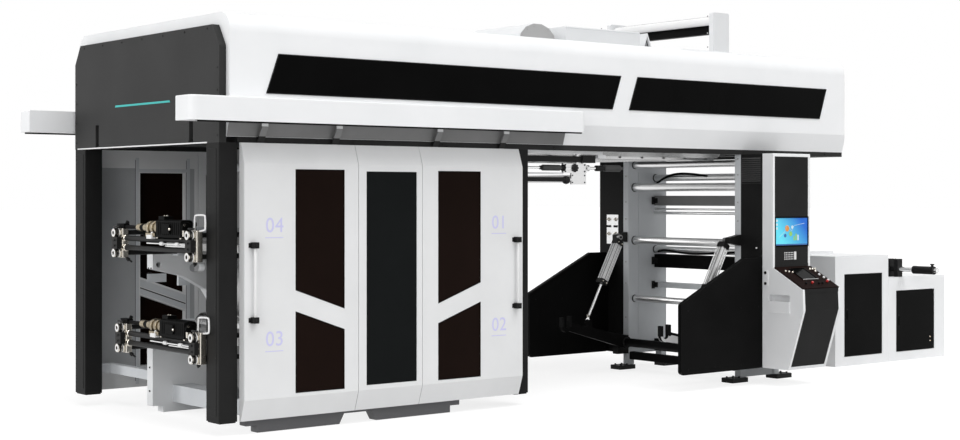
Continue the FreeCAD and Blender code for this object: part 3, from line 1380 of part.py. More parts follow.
def piston_rods():
    made = []
    length = math.hypot(ROD_PIN_X - LIFT_PIVOT_X, ROD_PIN_Z - LIFT_PIVOT_Z)
    for y in lift_middles():
        piston_start = LIFT_TUBE_LENGTH - ROD_INSIDE_LENGTH
        pieces = [
            along_lift(y, piston_start, length - ROD_EYE_RADIUS + ROD_EYE_OVERLAP, ROD_RADIUS),
            along_lift(y, piston_start, piston_start + PISTON_LENGTH, LIFT_BORE_RADIUS - RUNNING_GAP),
            rod_y(ROD_PIN_X, ROD_PIN_Z, y - LIFT_EYE_WIDTH / 2.0, y + LIFT_EYE_WIDTH / 2.0, ROD_EYE_RADIUS),
        ]
        rod = fuse(pieces)
        made.append(rod.cut(rod_y(ROD_PIN_X, ROD_PIN_Z, y - LIFT_EYE_WIDTH, y + LIFT_EYE_WIDTH,
                                  ROD_PIN_RADIUS + OPEN_PIN_GAP)))
    return made


def lift_pivots():
    # A bracket on each winder plate's left edge, with the upper pin of its cylinder.
    made = []
    for y, plate_y in zip(lift_middles(), (0, WINDER_REAR_Y)):
        ear_y = (plate_y, y - LIFT_EYE_WIDTH / 2.0 - MOVING_GAP)
        if plate_y > 0:
            ear_y = (y + LIFT_EYE_WIDTH / 2.0 + MOVING_GAP, plate_y + WINDER_THICKNESS)
        outline = [
            (LIFT_PIVOT_X - LIFT_EYE_RADIUS, LIFT_PIVOT_Z - LIFT_EYE_RADIUS),
            (LIFT_PIVOT_X - LIFT_EYE_RADIUS, LIFT_PIVOT_Z + LIFT_EYE_RADIUS),
            (WINDER_START, LIFT_PIVOT_Z + LIFT_EAR_HALF),
            (WINDER_START, LIFT_PIVOT_Z - LIFT_EAR_HALF),
        ]
        ear = prism_y(outline, ear_y[0], ear_y[1])
        low = min(ear_y[0], y - LIFT_EYE_WIDTH / 2.0 - MOVING_GAP)
        high = max(ear_y[1], y + LIFT_EYE_WIDTH / 2.0 + MOVING_GAP)
        made.append(fuse([ear, rod_y(LIFT_PIVOT_X, LIFT_PIVOT_Z, low, high, LIFT_PIN_RADIUS)]))
    return made


# Console


def inset_strip(start, end, side_gap, depth_from, depth_to):
    # The section of a strip along one edge of the console, from start to end in y and z. Depths
    # are measured inward, to the left of the way from start to end.
    along = Vector(end[0] - start[0], end[1] - start[1], 0).normalize()
    inward = Vector(-along.y, along.x, 0)
    a = Vector(start[0], start[1], 0) + along * side_gap
    b = Vector(end[0], end[1], 0) - along * side_gap
    points = [a + inward * depth_from, b + inward * depth_from, b + inward * depth_to,
              a + inward * depth_to]
    return [(p.x, p.y) for p in points]


TOWER_TOP_POINT = (TOWER_FRONT_Y, CONSOLE_TOP)
TOWER_LOW_POINT = (TOWER_FRONT_Y, DESK_BACK_Z)
DESK_FRONT_POINT = (DESK_FRONT_Y, DESK_FRONT_Z)
NOSE_POINT = (NOSE_Y, NOSE_Z)
TOE_POINT = (TOE_Y, CONSOLE_LOW)


def console_strip(start, end, side_gap, depth_from, depth_to, margin):
    outline = inset_strip(start, end, side_gap, depth_from, depth_to)
    return prism_x(outline, CONSOLE_START + margin, CONSOLE_END - margin)


def lower_panel(depth_from, depth_to):
    # The bent strip from the desk's front edge over the nose to the toe.
    upper = Vector(NOSE_Y - DESK_FRONT_Y, NOSE_Z - DESK_FRONT_Z, 0).normalize()
    lower = Vector(TOE_Y - NOSE_Y, CONSOLE_LOW - NOSE_Z, 0).normalize()
    upper_in = Vector(-upper.y, upper.x, 0)
    lower_in = Vector(-lower.y, lower.x, 0)
    corner = (upper_in + lower_in) * (1.0 / (1.0 + upper_in.dot(lower_in)))
    start = Vector(DESK_FRONT_Y, DESK_FRONT_Z, 0) + upper * CONSOLE_FRAME_WIDTH
    bend = Vector(NOSE_Y, NOSE_Z, 0)
    end = Vector(TOE_Y, CONSOLE_LOW, 0) - lower * CONSOLE_FRAME_WIDTH
    points = [start + upper_in * depth_from, bend + corner * depth_from, end + lower_in * depth_from,
              end + lower_in * depth_to, bend + corner * depth_to, start + upper_in * depth_to]
    return prism_x([(p.x, p.y) for p in points], CONSOLE_START + CONSOLE_FRAME_WIDTH,
                   CONSOLE_END - CONSOLE_FRAME_WIDTH)


def console_body():
    outline = [
        (-COVER_BOX_WIDTH, CONSOLE_LOW),
        (-COVER_BOX_WIDTH, CONSOLE_TOP),
        TOWER_TOP_POINT,
        TOWER_LOW_POINT,
        DESK_FRONT_POINT,
        NOSE_POINT,
        TOE_POINT,
    ]
    body = prism_x(outline, CONSOLE_START, CONSOLE_END)
    body = round_edges(body, CONSOLE_EDGE_RADIUS, Vector(1, 0, 0),
                       lambda middle: middle.y < -COVER_BOX_WIDTH - 1 and abs(middle.z - DESK_BACK_Z) > 1)
    body = body.cut(console_strip(TOWER_TOP_POINT, TOWER_LOW_POINT, CONSOLE_FRAME_WIDTH, 0.0,
                                  CONSOLE_RECESS_DEPTH, CONSOLE_FRAME_WIDTH))
    return body.cut(lower_panel(0.0, CONSOLE_RECESS_DEPTH)).cut(document_pocket())


def document_pocket():
    # The room for papers in the console's left side.
    y1 = -COVER_BOX_WIDTH - POCKET_BACK_GAP
    return box(CONSOLE_START, CONSOLE_START + POCKET_DEPTH, y1 - POCKET_WIDTH, y1, POCKET_LOW,
               POCKET_LOW + POCKET_HEIGHT)


def console_panels():
    outer = CONSOLE_RECESS_DEPTH - PANEL_THICKNESS
    tower = console_strip(TOWER_TOP_POINT, TOWER_LOW_POINT, CONSOLE_FRAME_WIDTH, outer,
                          CONSOLE_RECESS_DEPTH, CONSOLE_FRAME_WIDTH)
    return [tower.cut(screen_block(outer)), lower_panel(outer, CONSOLE_RECESS_DEPTH)]


def screen_block(depth):
    # A block of the screen's size from a depth behind the tower's front to the panel's back.
    return box(SCREEN_START, SCREEN_START + SCREEN_WIDTH, TOWER_FRONT_Y + depth,
               TOWER_FRONT_Y + CONSOLE_RECESS_DEPTH, SCREEN_LOW, SCREEN_LOW + SCREEN_HEIGHT)


def console_desk():
    # The dark sheet on the sloping desk.
    return console_strip(TOWER_LOW_POINT, DESK_FRONT_POINT, CONSOLE_EDGE_RADIUS, -DESK_THICKNESS, 0.0,
                         CONSOLE_EDGE_RADIUS)


# Cabinets


def cabinet(x0, x1, height, door_x0, door_x1, door_top):
    # A closed shell with a doorway in its front wall and two hinge pins at the doorway's right.
    back = CABINET_FRONT_Y + CABINET_DEPTH
    shell = box(x0, x1, CABINET_FRONT_Y, back, 0, height)
    shell = round_edges(shell, CABINET_EDGE_RADIUS, Vector(0, 0, 1), lambda middle: True)
    inner_front_y = CABINET_FRONT_Y + CABINET_THICKNESS + CABINET_DOOR_THICKNESS
    inside = box(x0 + CABINET_THICKNESS, x1 - CABINET_THICKNESS, inner_front_y, back - CABINET_THICKNESS,
                 CABINET_THICKNESS, height - CABINET_THICKNESS)
    low = CABINET_DOOR_LOW
    doorway = box(door_x0 - MOVING_GAP, door_x1 + HINGE_SIDE_GAP, CABINET_FRONT_Y, inner_front_y,
                  low - MOVING_GAP, door_top + MOVING_GAP)
    shell = shell.cut(inside).cut(doorway)
    x, y = hinge_point(door_x1)
    pins = [
        rod_z(x, y, low - MOVING_GAP, low - RUNNING_GAP, HINGE_COLLAR_RADIUS),
        rod_z(x, y, low - MOVING_GAP, low + HINGE_PIN_LENGTH, HINGE_PIN_RADIUS),
        rod_z(x, y, door_top - HINGE_PIN_LENGTH, door_top + MOVING_GAP, HINGE_PIN_RADIUS),
    ]
    return fuse([shell] + pins)


def hinge_point(door_x1):
    return door_x1 - HINGE_INSET, CABINET_FRONT_Y + HINGE_INSET


def cabinet_door(door_x0, door_x1, door_top):
    low = CABINET_DOOR_LOW
    door = box(door_x0, door_x1, CABINET_FRONT_Y, CABINET_FRONT_Y + CABINET_DOOR_THICKNESS, low, door_top)
    x, y = hinge_point(door_x1)
    bore = HINGE_PIN_RADIUS + RUNNING_GAP
    depth = HINGE_PIN_LENGTH + HINGE_PIN_GAP
    door = door.cut(rod_z(x, y, low, low + depth, bore)).cut(rod_z(x, y, door_top - depth, door_top, bore))
    middle = (low + door_top) / 2.0
    latch = box(door_x0 + LATCH_INSET, door_x0 + LATCH_INSET + LATCH_WIDTH, CABINET_FRONT_Y,
                CABINET_FRONT_Y + LATCH_DEPTH, middle - LATCH_HEIGHT / 2.0, middle + LATCH_HEIGHT / 2.0)
    grip_x = door_x0 + LATCH_INSET + LATCH_WIDTH / 2.0
    grip = box(grip_x - GRIP_WIDTH / 2.0, grip_x + GRIP_WIDTH / 2.0, CABINET_FRONT_Y + GRIP_RECESS,
               CABINET_FRONT_Y + LATCH_DEPTH, middle - GRIP_HEIGHT / 2.0, middle + GRIP_HEIGHT / 2.0)
    return door.cut(latch.cut(grip))


def tall_cabinet():
    shell = cabinet(TALL_START, TALL_START + TALL_WIDTH, TALL_HEIGHT, TALL_DOOR_START, TALL_DOOR_END,
                    TALL_DOOR_TOP)
    back = CABINET_FRONT_Y + CABINET_DEPTH
    lid = box(TALL_START, TALL_START + LID_LENGTH, back - LID_DEPTH, back, TALL_HEIGHT,
              TALL_HEIGHT + LID_HEIGHT)
    return fuse([shell, lid])


def low_cabinet():
    return cabinet(LOW_START, LOW_END, LOW_HEIGHT, LOW_DOOR_START, LOW_DOOR_END, LOW_DOOR_TOP)


def roll_stand():
    # Two clamp plates on the low cabinet hold a shaft that reaches out to the front.
    pieces = []
    for y0 in (STAND_FRONT_Y, STAND_FRONT_Y + STAND_THICKNESS + STAND_GAP):
        pieces.append(box(STAND_X - STAND_HALF, STAND_X + STAND_HALF, y0, y0 + STAND_THICKNESS, LOW_HEIGHT,
                          STAND_TOP))
    end = STAND_FRONT_Y + 2 * STAND_THICKNESS + 2 * STAND_GAP
    pieces.append(rod_y(STAND_X, SHAFT_Z, SHAFT_TIP_Y, end, SHAFT_RADIUS))
    pieces.append(rod_y(STAND_X, SHAFT_Z, SLEEVE_START_Y, SLEEVE_START_Y + SLEEVE_LENGTH, SLEEVE_RADIUS))
    knob_top = SHAFT_Z + SLEEVE_RADIUS + 2 * KNOB_RADIUS
    pieces.append(rod_z(STAND_X, SLEEVE_START_Y + KNOB_INSET, SHAFT_Z, knob_top, KNOB_RADIUS))
    return fuse(pieces)


def write_rollers():
    front = WINDER_THICKNESS + ROLLER_FACE_GAP
    rear = WINDER_REAR_Y - ROLLER_FACE_GAP
    for index, (x, z, radius) in enumerate(roller_places()):
        write("guide_roller_" + str(index + 1), [turning_roller(x, z, radius, front, rear)])
    x, z = gantry_roller_place()
    front = GANTRY_FRONT_Y + GANTRY_THICKNESS + ROLLER_FACE_GAP
    rear = GANTRY_REAR_Y - ROLLER_FACE_GAP
    write("gantry_roller", [turning_roller(x, z, GANTRY_ROLLER_RADIUS, front, rear)])


def main():
    os.makedirs("parts", exist_ok=True)
    write("end_panel", [end_panel()])
    write("enclosure_posts", posts())
    write("roof_beams", roof_beams())
    write("roof_cross_members", roof_cross_members())
    write("hood_shell", [hood_shell()])
    write("hood_windows", hood_windows())
    covered_rail = fuse([rail_cover(), door_rail()])
    write("rail_covers", [covered_rail, to_rear(covered_rail)])
    write_doors()
    write("print_side_frames", [side_frame(FRONT_FRAME_Y), side_frame(REAR_FRAME_Y)])
    write("print_frame_ties", frame_ties())
    write("impression_drum", [impression_drum()])
    write("plate_cylinders", plate_cylinders())
    write("anilox_rollers", anilox_rollers())
    write("doctor_chambers", doctor_chambers())
    write("deck_blocks", deck_blocks())
    write("deck_brackets", deck_brackets())
    write("deck_rods", deck_rods())
    write("deck_motors", deck_motors())
    write("dryer_tunnel", [dryer_tunnel()])
    write("fan_units", [fan_scroll(), fan_box()])
    write("gantry", [gantry(), web_tent()])
    write("web_guide", [web_guide()])
    write_rollers()
    write("winder_plates", winder_plates())
    write("winder_feet", winder_feet())
    write("winder_legs", winder_legs())
    write("winder_cross_beams", winder_cross_beams())
    write("outer_covers", outer_covers())
    write("wing_guards", wing_guards())
    write("reel_arms", [reel_arms()])
    write("arm_bearings", arm_bearings() + lift_pivots())
    write("lift_cylinders", lift_cylinders())
    write("piston_rods", piston_rods())
    write("console_body", [console_body()])
    write("console_panels", console_panels())
    write("console_screen", [screen_block(SCREEN_RECESS)])
    write("console_desk", [console_desk()])
    write("tall_cabinet", [tall_cabinet()])
    write("tall_cabinet_door", [cabinet_door(TALL_DOOR_START, TALL_DOOR_END, TALL_DOOR_TOP)])
    write("low_cabinet", [low_cabinet()])
    write("low_cabinet_door", [cabinet_door(LOW_DOOR_START, LOW_DOOR_END, LOW_DOOR_TOP)])
    write("roll_stand", [roll_stand()])


main()
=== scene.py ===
import math

import bmesh
import bpy
from mathutils import Matrix, Vector


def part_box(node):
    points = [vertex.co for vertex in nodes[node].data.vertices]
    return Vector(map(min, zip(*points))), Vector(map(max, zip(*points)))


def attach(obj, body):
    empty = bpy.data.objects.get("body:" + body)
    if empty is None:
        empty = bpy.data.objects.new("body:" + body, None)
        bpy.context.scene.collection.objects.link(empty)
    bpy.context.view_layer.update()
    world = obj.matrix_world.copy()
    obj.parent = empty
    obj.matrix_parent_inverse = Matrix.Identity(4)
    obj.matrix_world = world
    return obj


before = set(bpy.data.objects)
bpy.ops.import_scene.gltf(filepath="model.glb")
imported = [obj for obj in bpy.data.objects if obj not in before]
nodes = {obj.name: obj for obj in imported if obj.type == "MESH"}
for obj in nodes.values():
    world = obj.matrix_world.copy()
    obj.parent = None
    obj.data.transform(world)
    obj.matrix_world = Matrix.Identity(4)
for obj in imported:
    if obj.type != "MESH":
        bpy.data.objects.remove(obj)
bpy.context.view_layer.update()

# Positions below are in metres in the drawing frame: x from the end panel's outer face, y from
# the front posts' outer face, z up from the floor. They are worked out from the CAD nodes.
POSTS_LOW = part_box("enclosure_posts")[0]
ORIGIN = Vector((POSTS_LOW.x, POSTS_LOW.y, 0.0))


class Span:
    # A CAD node's lowest and highest x, y and z in the drawing frame.
    def __init__(self, node):
        low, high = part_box(node)
        self.x0, self.y0, self.z0 = low - ORIGIN
        self.x1, self.y1, self.z1 = high - ORIGIN
        self.xm = (self.x0 + self.x1) / 2.0
        self.ym = (self.y0 + self.y1) / 2.0
        self.zm = (self.z0 + self.z1) / 2.0


posts = Span("enclosure_posts")
hood = Span("hood_shell")
beams = Span("roof_beams")
covers = Span("rail_covers")
panel = Span("end_panel")
frames = Span("print_side_frames")
plates = Span("winder_plates")
boxes = Span("outer_covers")
feet = Span("winder_feet")
wings = Span("wing_guards")
console = Span("console_body")
screen = Span("console_screen")
desk = Span("console_desk")
tall = Span("tall_cabinet")
tall_door = Span("tall_cabinet_door")
low = Span("low_cabinet")
low_door = Span("low_cabinet_door")
stand = Span("roll_stand")
gantry = Span("gantry")
fans = Span("fan_units")
dryer = Span("dryer_tunnel")
guide = Span("web_guide")
brackets = Span("deck_brackets")

DEPTH = posts.y1
PRINT_Y = frames.ym
DRUM_X = frames.xm
WINDER_Y = plates.ym


def same(p):
    return p


def flip_y(middle):
    return lambda p: Vector((p.x, 2 * middle - p.y, p.z))


def flip_x(middle):
    return lambda p: Vector((2 * middle - p.x, p.y, p.z))


def both(first, second):
    return lambda p: second(first(p))


REAR = flip_y(DEPTH / 2.0)
SIDES = (same, REAR)
PRINT_ENDS = (same, flip_y(PRINT_Y))
DECKS = tuple(both(a, b) for a in PRINT_ENDS for b in (same, flip_x(DRUM_X)))
WINDER_SIDES = (same, flip_y(WINDER_Y))

AXES = {"x": (1, 0, 0), "y": (0, 1, 0), "z": (0, 0, 1), "-x": (-1, 0, 0), "-y": (0, -1, 0)}


# Materials


def feed(tree, node, inputs):
    # Sets a node's inputs, each to a value or to another node's output.
    for name, value in inputs.items():
        if isinstance(value, bpy.types.NodeSocket):
            tree.links.new(value, node.inputs[name])
        else:
            node.inputs[name].default_value = value


def add(tree, kind, inputs, **settings):
    node = tree.nodes.new("ShaderNode" + kind)
    for name, value in settings.items():
        setattr(node, name, value)
    feed(tree, node, inputs)
    return node


def noise(tree, vector, scale, detail=5.0):
    inputs = {"Vector": vector, "Scale": scale, "Detail": detail, "Roughness": 0.55}
    return add(tree, "TexNoise", inputs).outputs["Fac"]


def ranged(tree, value, source, target=(0.0, 1.0)):
    inputs = {"Value": value, "From Min": source[0], "From Max": source[1], "To Min": target[0],
              "To Max": target[1]}
    return add(tree, "MapRange", inputs).outputs["Result"]


def combine(tree, operation, first, second):
    return add(tree, "Math", {0: first, 1: second}, operation=operation).outputs["Value"]


def blend(tree, amount, below, above):
    inputs = {"Factor": amount, "A": below, "B": (*above, 1.0)}
    return add(tree, "Mix", inputs, data_type="RGBA").outputs["Result"]


def surface(name, dark, light, rough, metallic=0.0, specular=0.5, patches=1.6, grain=260.0,
            depth=0.0003, stretch=(1.0, 1.0, 1.0), worn=None, wear=0.5):
    # A finish whose colour drifts between two tones in soft patches, with fine grain in its
    # gloss and relief, and wear along the edges where a worn colour is given.
    material = bpy.data.materials.new(name)
    material.use_nodes = True
    tree = material.node_tree
    place = add(tree, "TexCoord", {}).outputs["Object"]
    stretched = add(tree, "Mapping", {"Vector": place, "Scale": stretch}).outputs["Vector"]
    cloud = noise(tree, place, patches)
    fine = noise(tree, stretched, grain, 3.0)
    ramp = add(tree, "ValToRGB", {"Fac": cloud})
    for element, position, tone in zip(ramp.color_ramp.elements, (0.32, 0.68), (dark, light)):
        element.position = position
        element.color = (*tone, 1.0)
    colour = ramp.outputs["Color"]
    if worn:
        colour = worn_edges(tree, colour, cloud, worn, wear)
    bump = add(tree, "Bump", {"Strength": 0.35, "Distance": depth, "Height": fine})
    feed(tree, tree.nodes["Principled BSDF"], {
        "Base Color": colour, "Metallic": metallic, "Specular IOR Level": specular,
        "Roughness": ranged(tree, fine, (0.3, 0.7), rough), "Normal": bump.outputs["Normal"]})
    return material


def worn_edges(tree, colour, cloud, worn, wear):
    bevel = add(tree, "Bevel", {"Radius": 0.003}, samples=4).outputs["Normal"]
    normal = add(tree, "NewGeometry", {}).outputs["Normal"]
    turn = add(tree, "VectorMath", {0: bevel, 1: normal}, operation="DOT_PRODUCT")
    near_edge = ranged(tree, turn.outputs["Value"], (0.98, 0.75), (0.0, wear))
    broken = ranged(tree, cloud, (0.35, 0.6), (0.25, 1.0))
    return blend(tree, combine(tree, "MULTIPLY", near_edge, broken), colour, worn)


def grey(value):
    return (value, value, value)


WHITE = surface("white_powder_coat", (0.80, 0.81, 0.82), (0.845, 0.85, 0.86),
                (0.3, 0.42), specular=0.4, grain=420.0, depth=0.0002, worn=(0.62, 0.63, 0.64),
                wear=0.35)
DOOR_WHITE = surface("door_powder_coat", (0.71, 0.715, 0.72), (0.755, 0.76, 0.765),
                     (0.32, 0.44), specular=0.35, grain=420.0, depth=0.0002,
                     worn=(0.55, 0.56, 0.57), wear=0.35)
ROOF_WHITE = surface("roof_unit_coat", (0.65, 0.66, 0.67), (0.70, 0.71, 0.72),
                     (0.34, 0.46), specular=0.35, grain=360.0, worn=(0.5, 0.5, 0.52), wear=0.4)
# A mid grey used as painted shade on the hood's band and door straps under the rail covers, and as
# painted light on the brush beam's cover, paler than black where it stands in shade.
SHADE_AND_LIGHT_GREY = surface("painted_shade_and_light_grey", grey(0.19), grey(0.23), (0.42, 0.55),
                     specular=0.15, grain=420.0, worn=grey(0.3), wear=0.3)
PANEL_GREY = surface("end_panel_coat", grey(0.026), grey(0.033), (0.42, 0.55),
                     specular=0.1, grain=520.0, worn=grey(0.12))
POST_BLACK = surface("post_coat", grey(0.0135), grey(0.0185), (0.36, 0.48),
                     specular=0.05, grain=520.0, worn=grey(0.10))
BEAM_GREY = surface("beam_coat", grey(0.018), grey(0.026), (0.4, 0.52),
                    specular=0.08, grain=420.0, worn=grey(0.12), wear=0.4)
TRIM_DARK = surface("dark_grey_trim", grey(0.046), grey(0.060), (0.4, 0.5),
                    specular=0.15, grain=300.0, worn=grey(0.14), wear=0.4)
BLACK = surface("black_powder_coat", grey(0.0034), grey(0.0056), (0.38, 0.52),
                specular=0.025, grain=520.0, worn=grey(0.07))
COVER_BLACK = surface("cover_coat", grey(0.0095), grey(0.0135), (0.38, 0.52),
                      specular=0.05, grain=520.0, worn=grey(0.07))
CONSOLE_BLACK = surface("console_panel_coat", grey(0.013), grey(0.018), (0.3, 0.42),
                        specular=0.05, grain=420.0, worn=grey(0.07), wear=0.3)
BLACK_GLOSS = surface("black_gloss_panel", grey(0.0012), grey(0.0022), (0.10, 0.18),
                      specular=0.03, grain=30.0, depth=0.00005)
GLASS = surface("smoked_glass", (0.0070, 0.0033, 0.0022), (0.0100, 0.0048, 0.0034),
                (0.05, 0.1), specular=0.03, grain=18.0, depth=0.00004, patches=0.9)
CENTRE_GLASS = surface("tinted_glass", (0.0062, 0.0072, 0.0074),
                       (0.0080, 0.0092, 0.0094), (0.05, 0.1), specular=0.03, grain=18.0,
                       depth=0.00004, patches=0.9)
CASTING = surface("grey_casting_paint", (0.54, 0.56, 0.58), (0.62, 0.64, 0.66),
                  (0.42, 0.6), specular=0.3, grain=140.0, depth=0.0006, worn=(0.36, 0.37, 0.38))
FRAME_PAINT = surface("frame_paint", (0.36, 0.37, 0.38), (0.43, 0.44, 0.45),
                      (0.42, 0.58), specular=0.3, grain=160.0, depth=0.0005,
                      worn=(0.26, 0.27, 0.28))
TRIM_SILVER = surface("silver_grey_trim", grey(0.34), grey(0.39), (0.4, 0.52),
                      specular=0.3, grain=300.0, worn=grey(0.4), wear=0.3)
GROUND = surface("ground_steel", grey(0.42), grey(0.58), (0.16, 0.34),
                 metallic=1.0, grain=90.0, stretch=(1.0, 14.0, 1.0), depth=0.00012)
CERAMIC = surface("ceramic_cells", grey(0.12), grey(0.17), (0.34, 0.46),
                  grain=900.0, depth=0.0002)
TUBE = surface("ribbed_tube", grey(0.20), grey(0.28), (0.34, 0.46), metallic=0.8,
               grain=90.0, depth=0.0002, worn=grey(0.5))
ALUMINIUM = surface("anodised_aluminium", grey(0.60), grey(0.72), (0.24, 0.38),
                    metallic=1.0, grain=60.0, stretch=(16.0, 1.0, 1.0), depth=0.00012,
                    worn=grey(0.85))
NICKEL = surface("nickel_plate", (0.60, 0.565, 0.50), (0.72, 0.68, 0.61), (0.14, 0.26),
                 metallic=1.0, grain=150.0, depth=0.0001, worn=grey(0.9), wear=0.6)
BRASS = surface("brass", (0.24, 0.20, 0.14), (0.36, 0.31, 0.225), (0.22, 0.38),
                metallic=1.0, grain=160.0, depth=0.00015, worn=(0.8, 0.6, 0.3))
DARK_STEEL = surface("blackened_steel", grey(0.008), grey(0.014), (0.3, 0.46),
                     specular=0.1, grain=300.0, worn=grey(0.12), wear=0.6)
SEAL = surface("black_rubber_seal", grey(0.006), grey(0.010), (0.55, 0.7),
               specular=0.05, grain=240.0)
ROLLER = surface("roller_steel", grey(0.74), grey(0.86), (0.24, 0.38),
                 metallic=1.0, grain=70.0, stretch=(1.0, 12.0, 1.0), depth=0.0001)
RUBBER = surface("white_rubber", grey(0.74), grey(0.80), (0.5, 0.66),
                 specular=0.3, grain=320.0)
CHROME = surface("hard_chrome", grey(0.72), grey(0.82), (0.05, 0.12), metallic=1.0,
                 grain=60.0, stretch=(1.0, 1.0, 10.0), depth=0.00005)
BROWN = surface("brown_desk_sheet", (0.0085, 0.0043, 0.0037),
                (0.0135, 0.0072, 0.0064), (0.4, 0.55), specular=0.01, patches=3.0)
TRIM_TEAL = surface("teal_trim", (0.01, 0.42, 0.40), (0.02, 0.50, 0.47),
                    (0.3, 0.4), grain=300.0)
LILAC = surface("lilac_print", (0.56, 0.55, 0.80), (0.62, 0.61, 0.86), (0.4, 0.5),
                grain=400.0)
RED = surface("red_cap", (0.42, 0.012, 0.01), (0.55, 0.02, 0.015), (0.25, 0.36),
              grain=200.0)
AMBER = surface("amber_cap", (0.52, 0.26, 0.02), (0.62, 0.34, 0.03), (0.25, 0.36),
                grain=200.0)


def screen_colour(name, dark, light):
    return surface(name, dark, light, (0.1, 0.2), grain=60.0)


SCREEN_LIGHT = screen_colour("screen_light", (0.55, 0.72, 0.80), (0.68, 0.84, 0.90))
SCREEN_DEEP = screen_colour("screen_deep_blue", (0.02, 0.10, 0.34), (0.03, 0.14, 0.42))
SCREEN_GREEN = screen_colour("screen_green", (0.22, 0.52, 0.10), (0.30, 0.64, 0.14))
SCREEN_RED = screen_colour("screen_orange", (0.66, 0.22, 0.03), (0.80, 0.32, 0.05))


def axes_of(tree):
    place = tree.nodes["Texture Coordinate"].outputs["Object"]
    return add(tree, "SeparateXYZ", {"Vector": place}).outputs


def make_frame_painted_light():
    # The side frames' paint, paler than the other castings as painted light on inner faces that little
    # light reaches, with painted shade darkening the front feet under the doors.
    material = surface("side_frame_paint_painted_light_and_shade", (0.74, 0.75, 0.76),
                       (0.81, 0.82, 0.83), (0.4, 0.56), specular=0.3, grain=140.0, depth=0.0006,
                       worn=(0.5, 0.51, 0.52))
    tree = material.node_tree
    colour = tree.nodes["Principled BSDF"].inputs["Base Color"]
    place = axes_of(tree)
    low_down = ranged(tree, place["Z"], (0.17, 0.13))
    at_front = ranged(tree, place["Y"], (ORIGIN.y + 1.0, ORIGIN.y + 0.9))
    # Painted shade: the front frames' feet below the doors turn dark grey.
    foot = combine(tree, "MULTIPLY", low_down, at_front)
    painted_foot_shade = blend(tree, foot, colour.links[0].from_socket, (0.12, 0.12, 0.125))
    tree.links.new(painted_foot_shade, colour)
    return material


def display():
    # The lit screen: a field that runs from deep blue at the right to light aqua at the left.
    material = surface("display_glass", (0.02, 0.12, 0.50), (0.12, 0.60, 0.72),
                       (0.08, 0.14), specular=0.1, grain=40.0, patches=5.0, depth=0.00002)
    tree = material.node_tree
    place = axes_of(tree)
    low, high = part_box("console_screen")
    across = ranged(tree, place["X"], (low.x, high.x), (1.0, 0.0))
    rise = ranged(tree, place["Z"], (low.z, high.z), (0.25, -0.25))
    ramp = tree.nodes["Color Ramp"]
    feed(tree, ramp, {"Fac": combine(tree, "ADD", across, rise)})
    ramp.color_ramp.elements[0].position = 0.0
    ramp.color_ramp.elements[1].position = 0.95
    feed(tree, tree.nodes["Principled BSDF"],
         {"Emission Color": ramp.outputs["Color"], "Emission Strength": 0.35})
    return material


FRAME_PAINTED_LIGHT = make_frame_painted_light()
DISPLAY = display()

CORNERS = ("front_left", "front_right", "rear_left", "rear_right")
FINISHES = {
    WHITE: ("hood_shell", "rail_covers", "console_body", "tall_cabinet", "low_cabinet"),
    DOOR_WHITE: ("centre_panels", *("door_" + corner for corner in CORNERS)),
    ROOF_WHITE: ("fan_units", "gantry"),
    PANEL_GREY: ("end_panel",),
    POST_BLACK: ("enclosure_posts",),
    BEAM_GREY: ("roof_beams", "roof_cross_members"),
    BLACK: ("wing_guards", "reel_arms", "deck_motors", "tall_cabinet_door", "low_cabinet_door"),
    COVER_BLACK: ("outer_covers",),
    CONSOLE_BLACK: ("console_panels",),
    CENTRE_GLASS: ("centre_glass",),
    BLACK_GLOSS: ("hood_windows",),
    GLASS: tuple("glass_" + corner for corner in CORNERS),
    CASTING: ("print_frame_ties", "deck_blocks", "winder_plates", "winder_cross_beams",
              "winder_legs"),
    FRAME_PAINTED_LIGHT: ("print_side_frames",),
    TUBE: ("lift_cylinders",),
    GROUND: ("impression_drum", "plate_cylinders"),
    CERAMIC: ("anilox_rollers",),
    ALUMINIUM: ("doctor_chambers", "dryer_tunnel", "web_guide"),
    NICKEL: ("deck_brackets",),
    DARK_STEEL: ("deck_rods", "winder_feet", "arm_bearings", "roll_stand",
                 *("handle_" + corner for corner in CORNERS)),
    ROLLER: tuple("guide_roller_" + str(number) for number in range(1, 7)),
    RUBBER: ("gantry_roller",),
    CHROME: ("piston_rods",),
    BROWN: ("console_desk",),
    DISPLAY: ("console_screen",),
}
for material, names in FINISHES.items():
    for name in names:
        nodes[name].data.materials.clear()
        nodes[name].data.materials.append(material)


# Mesh building


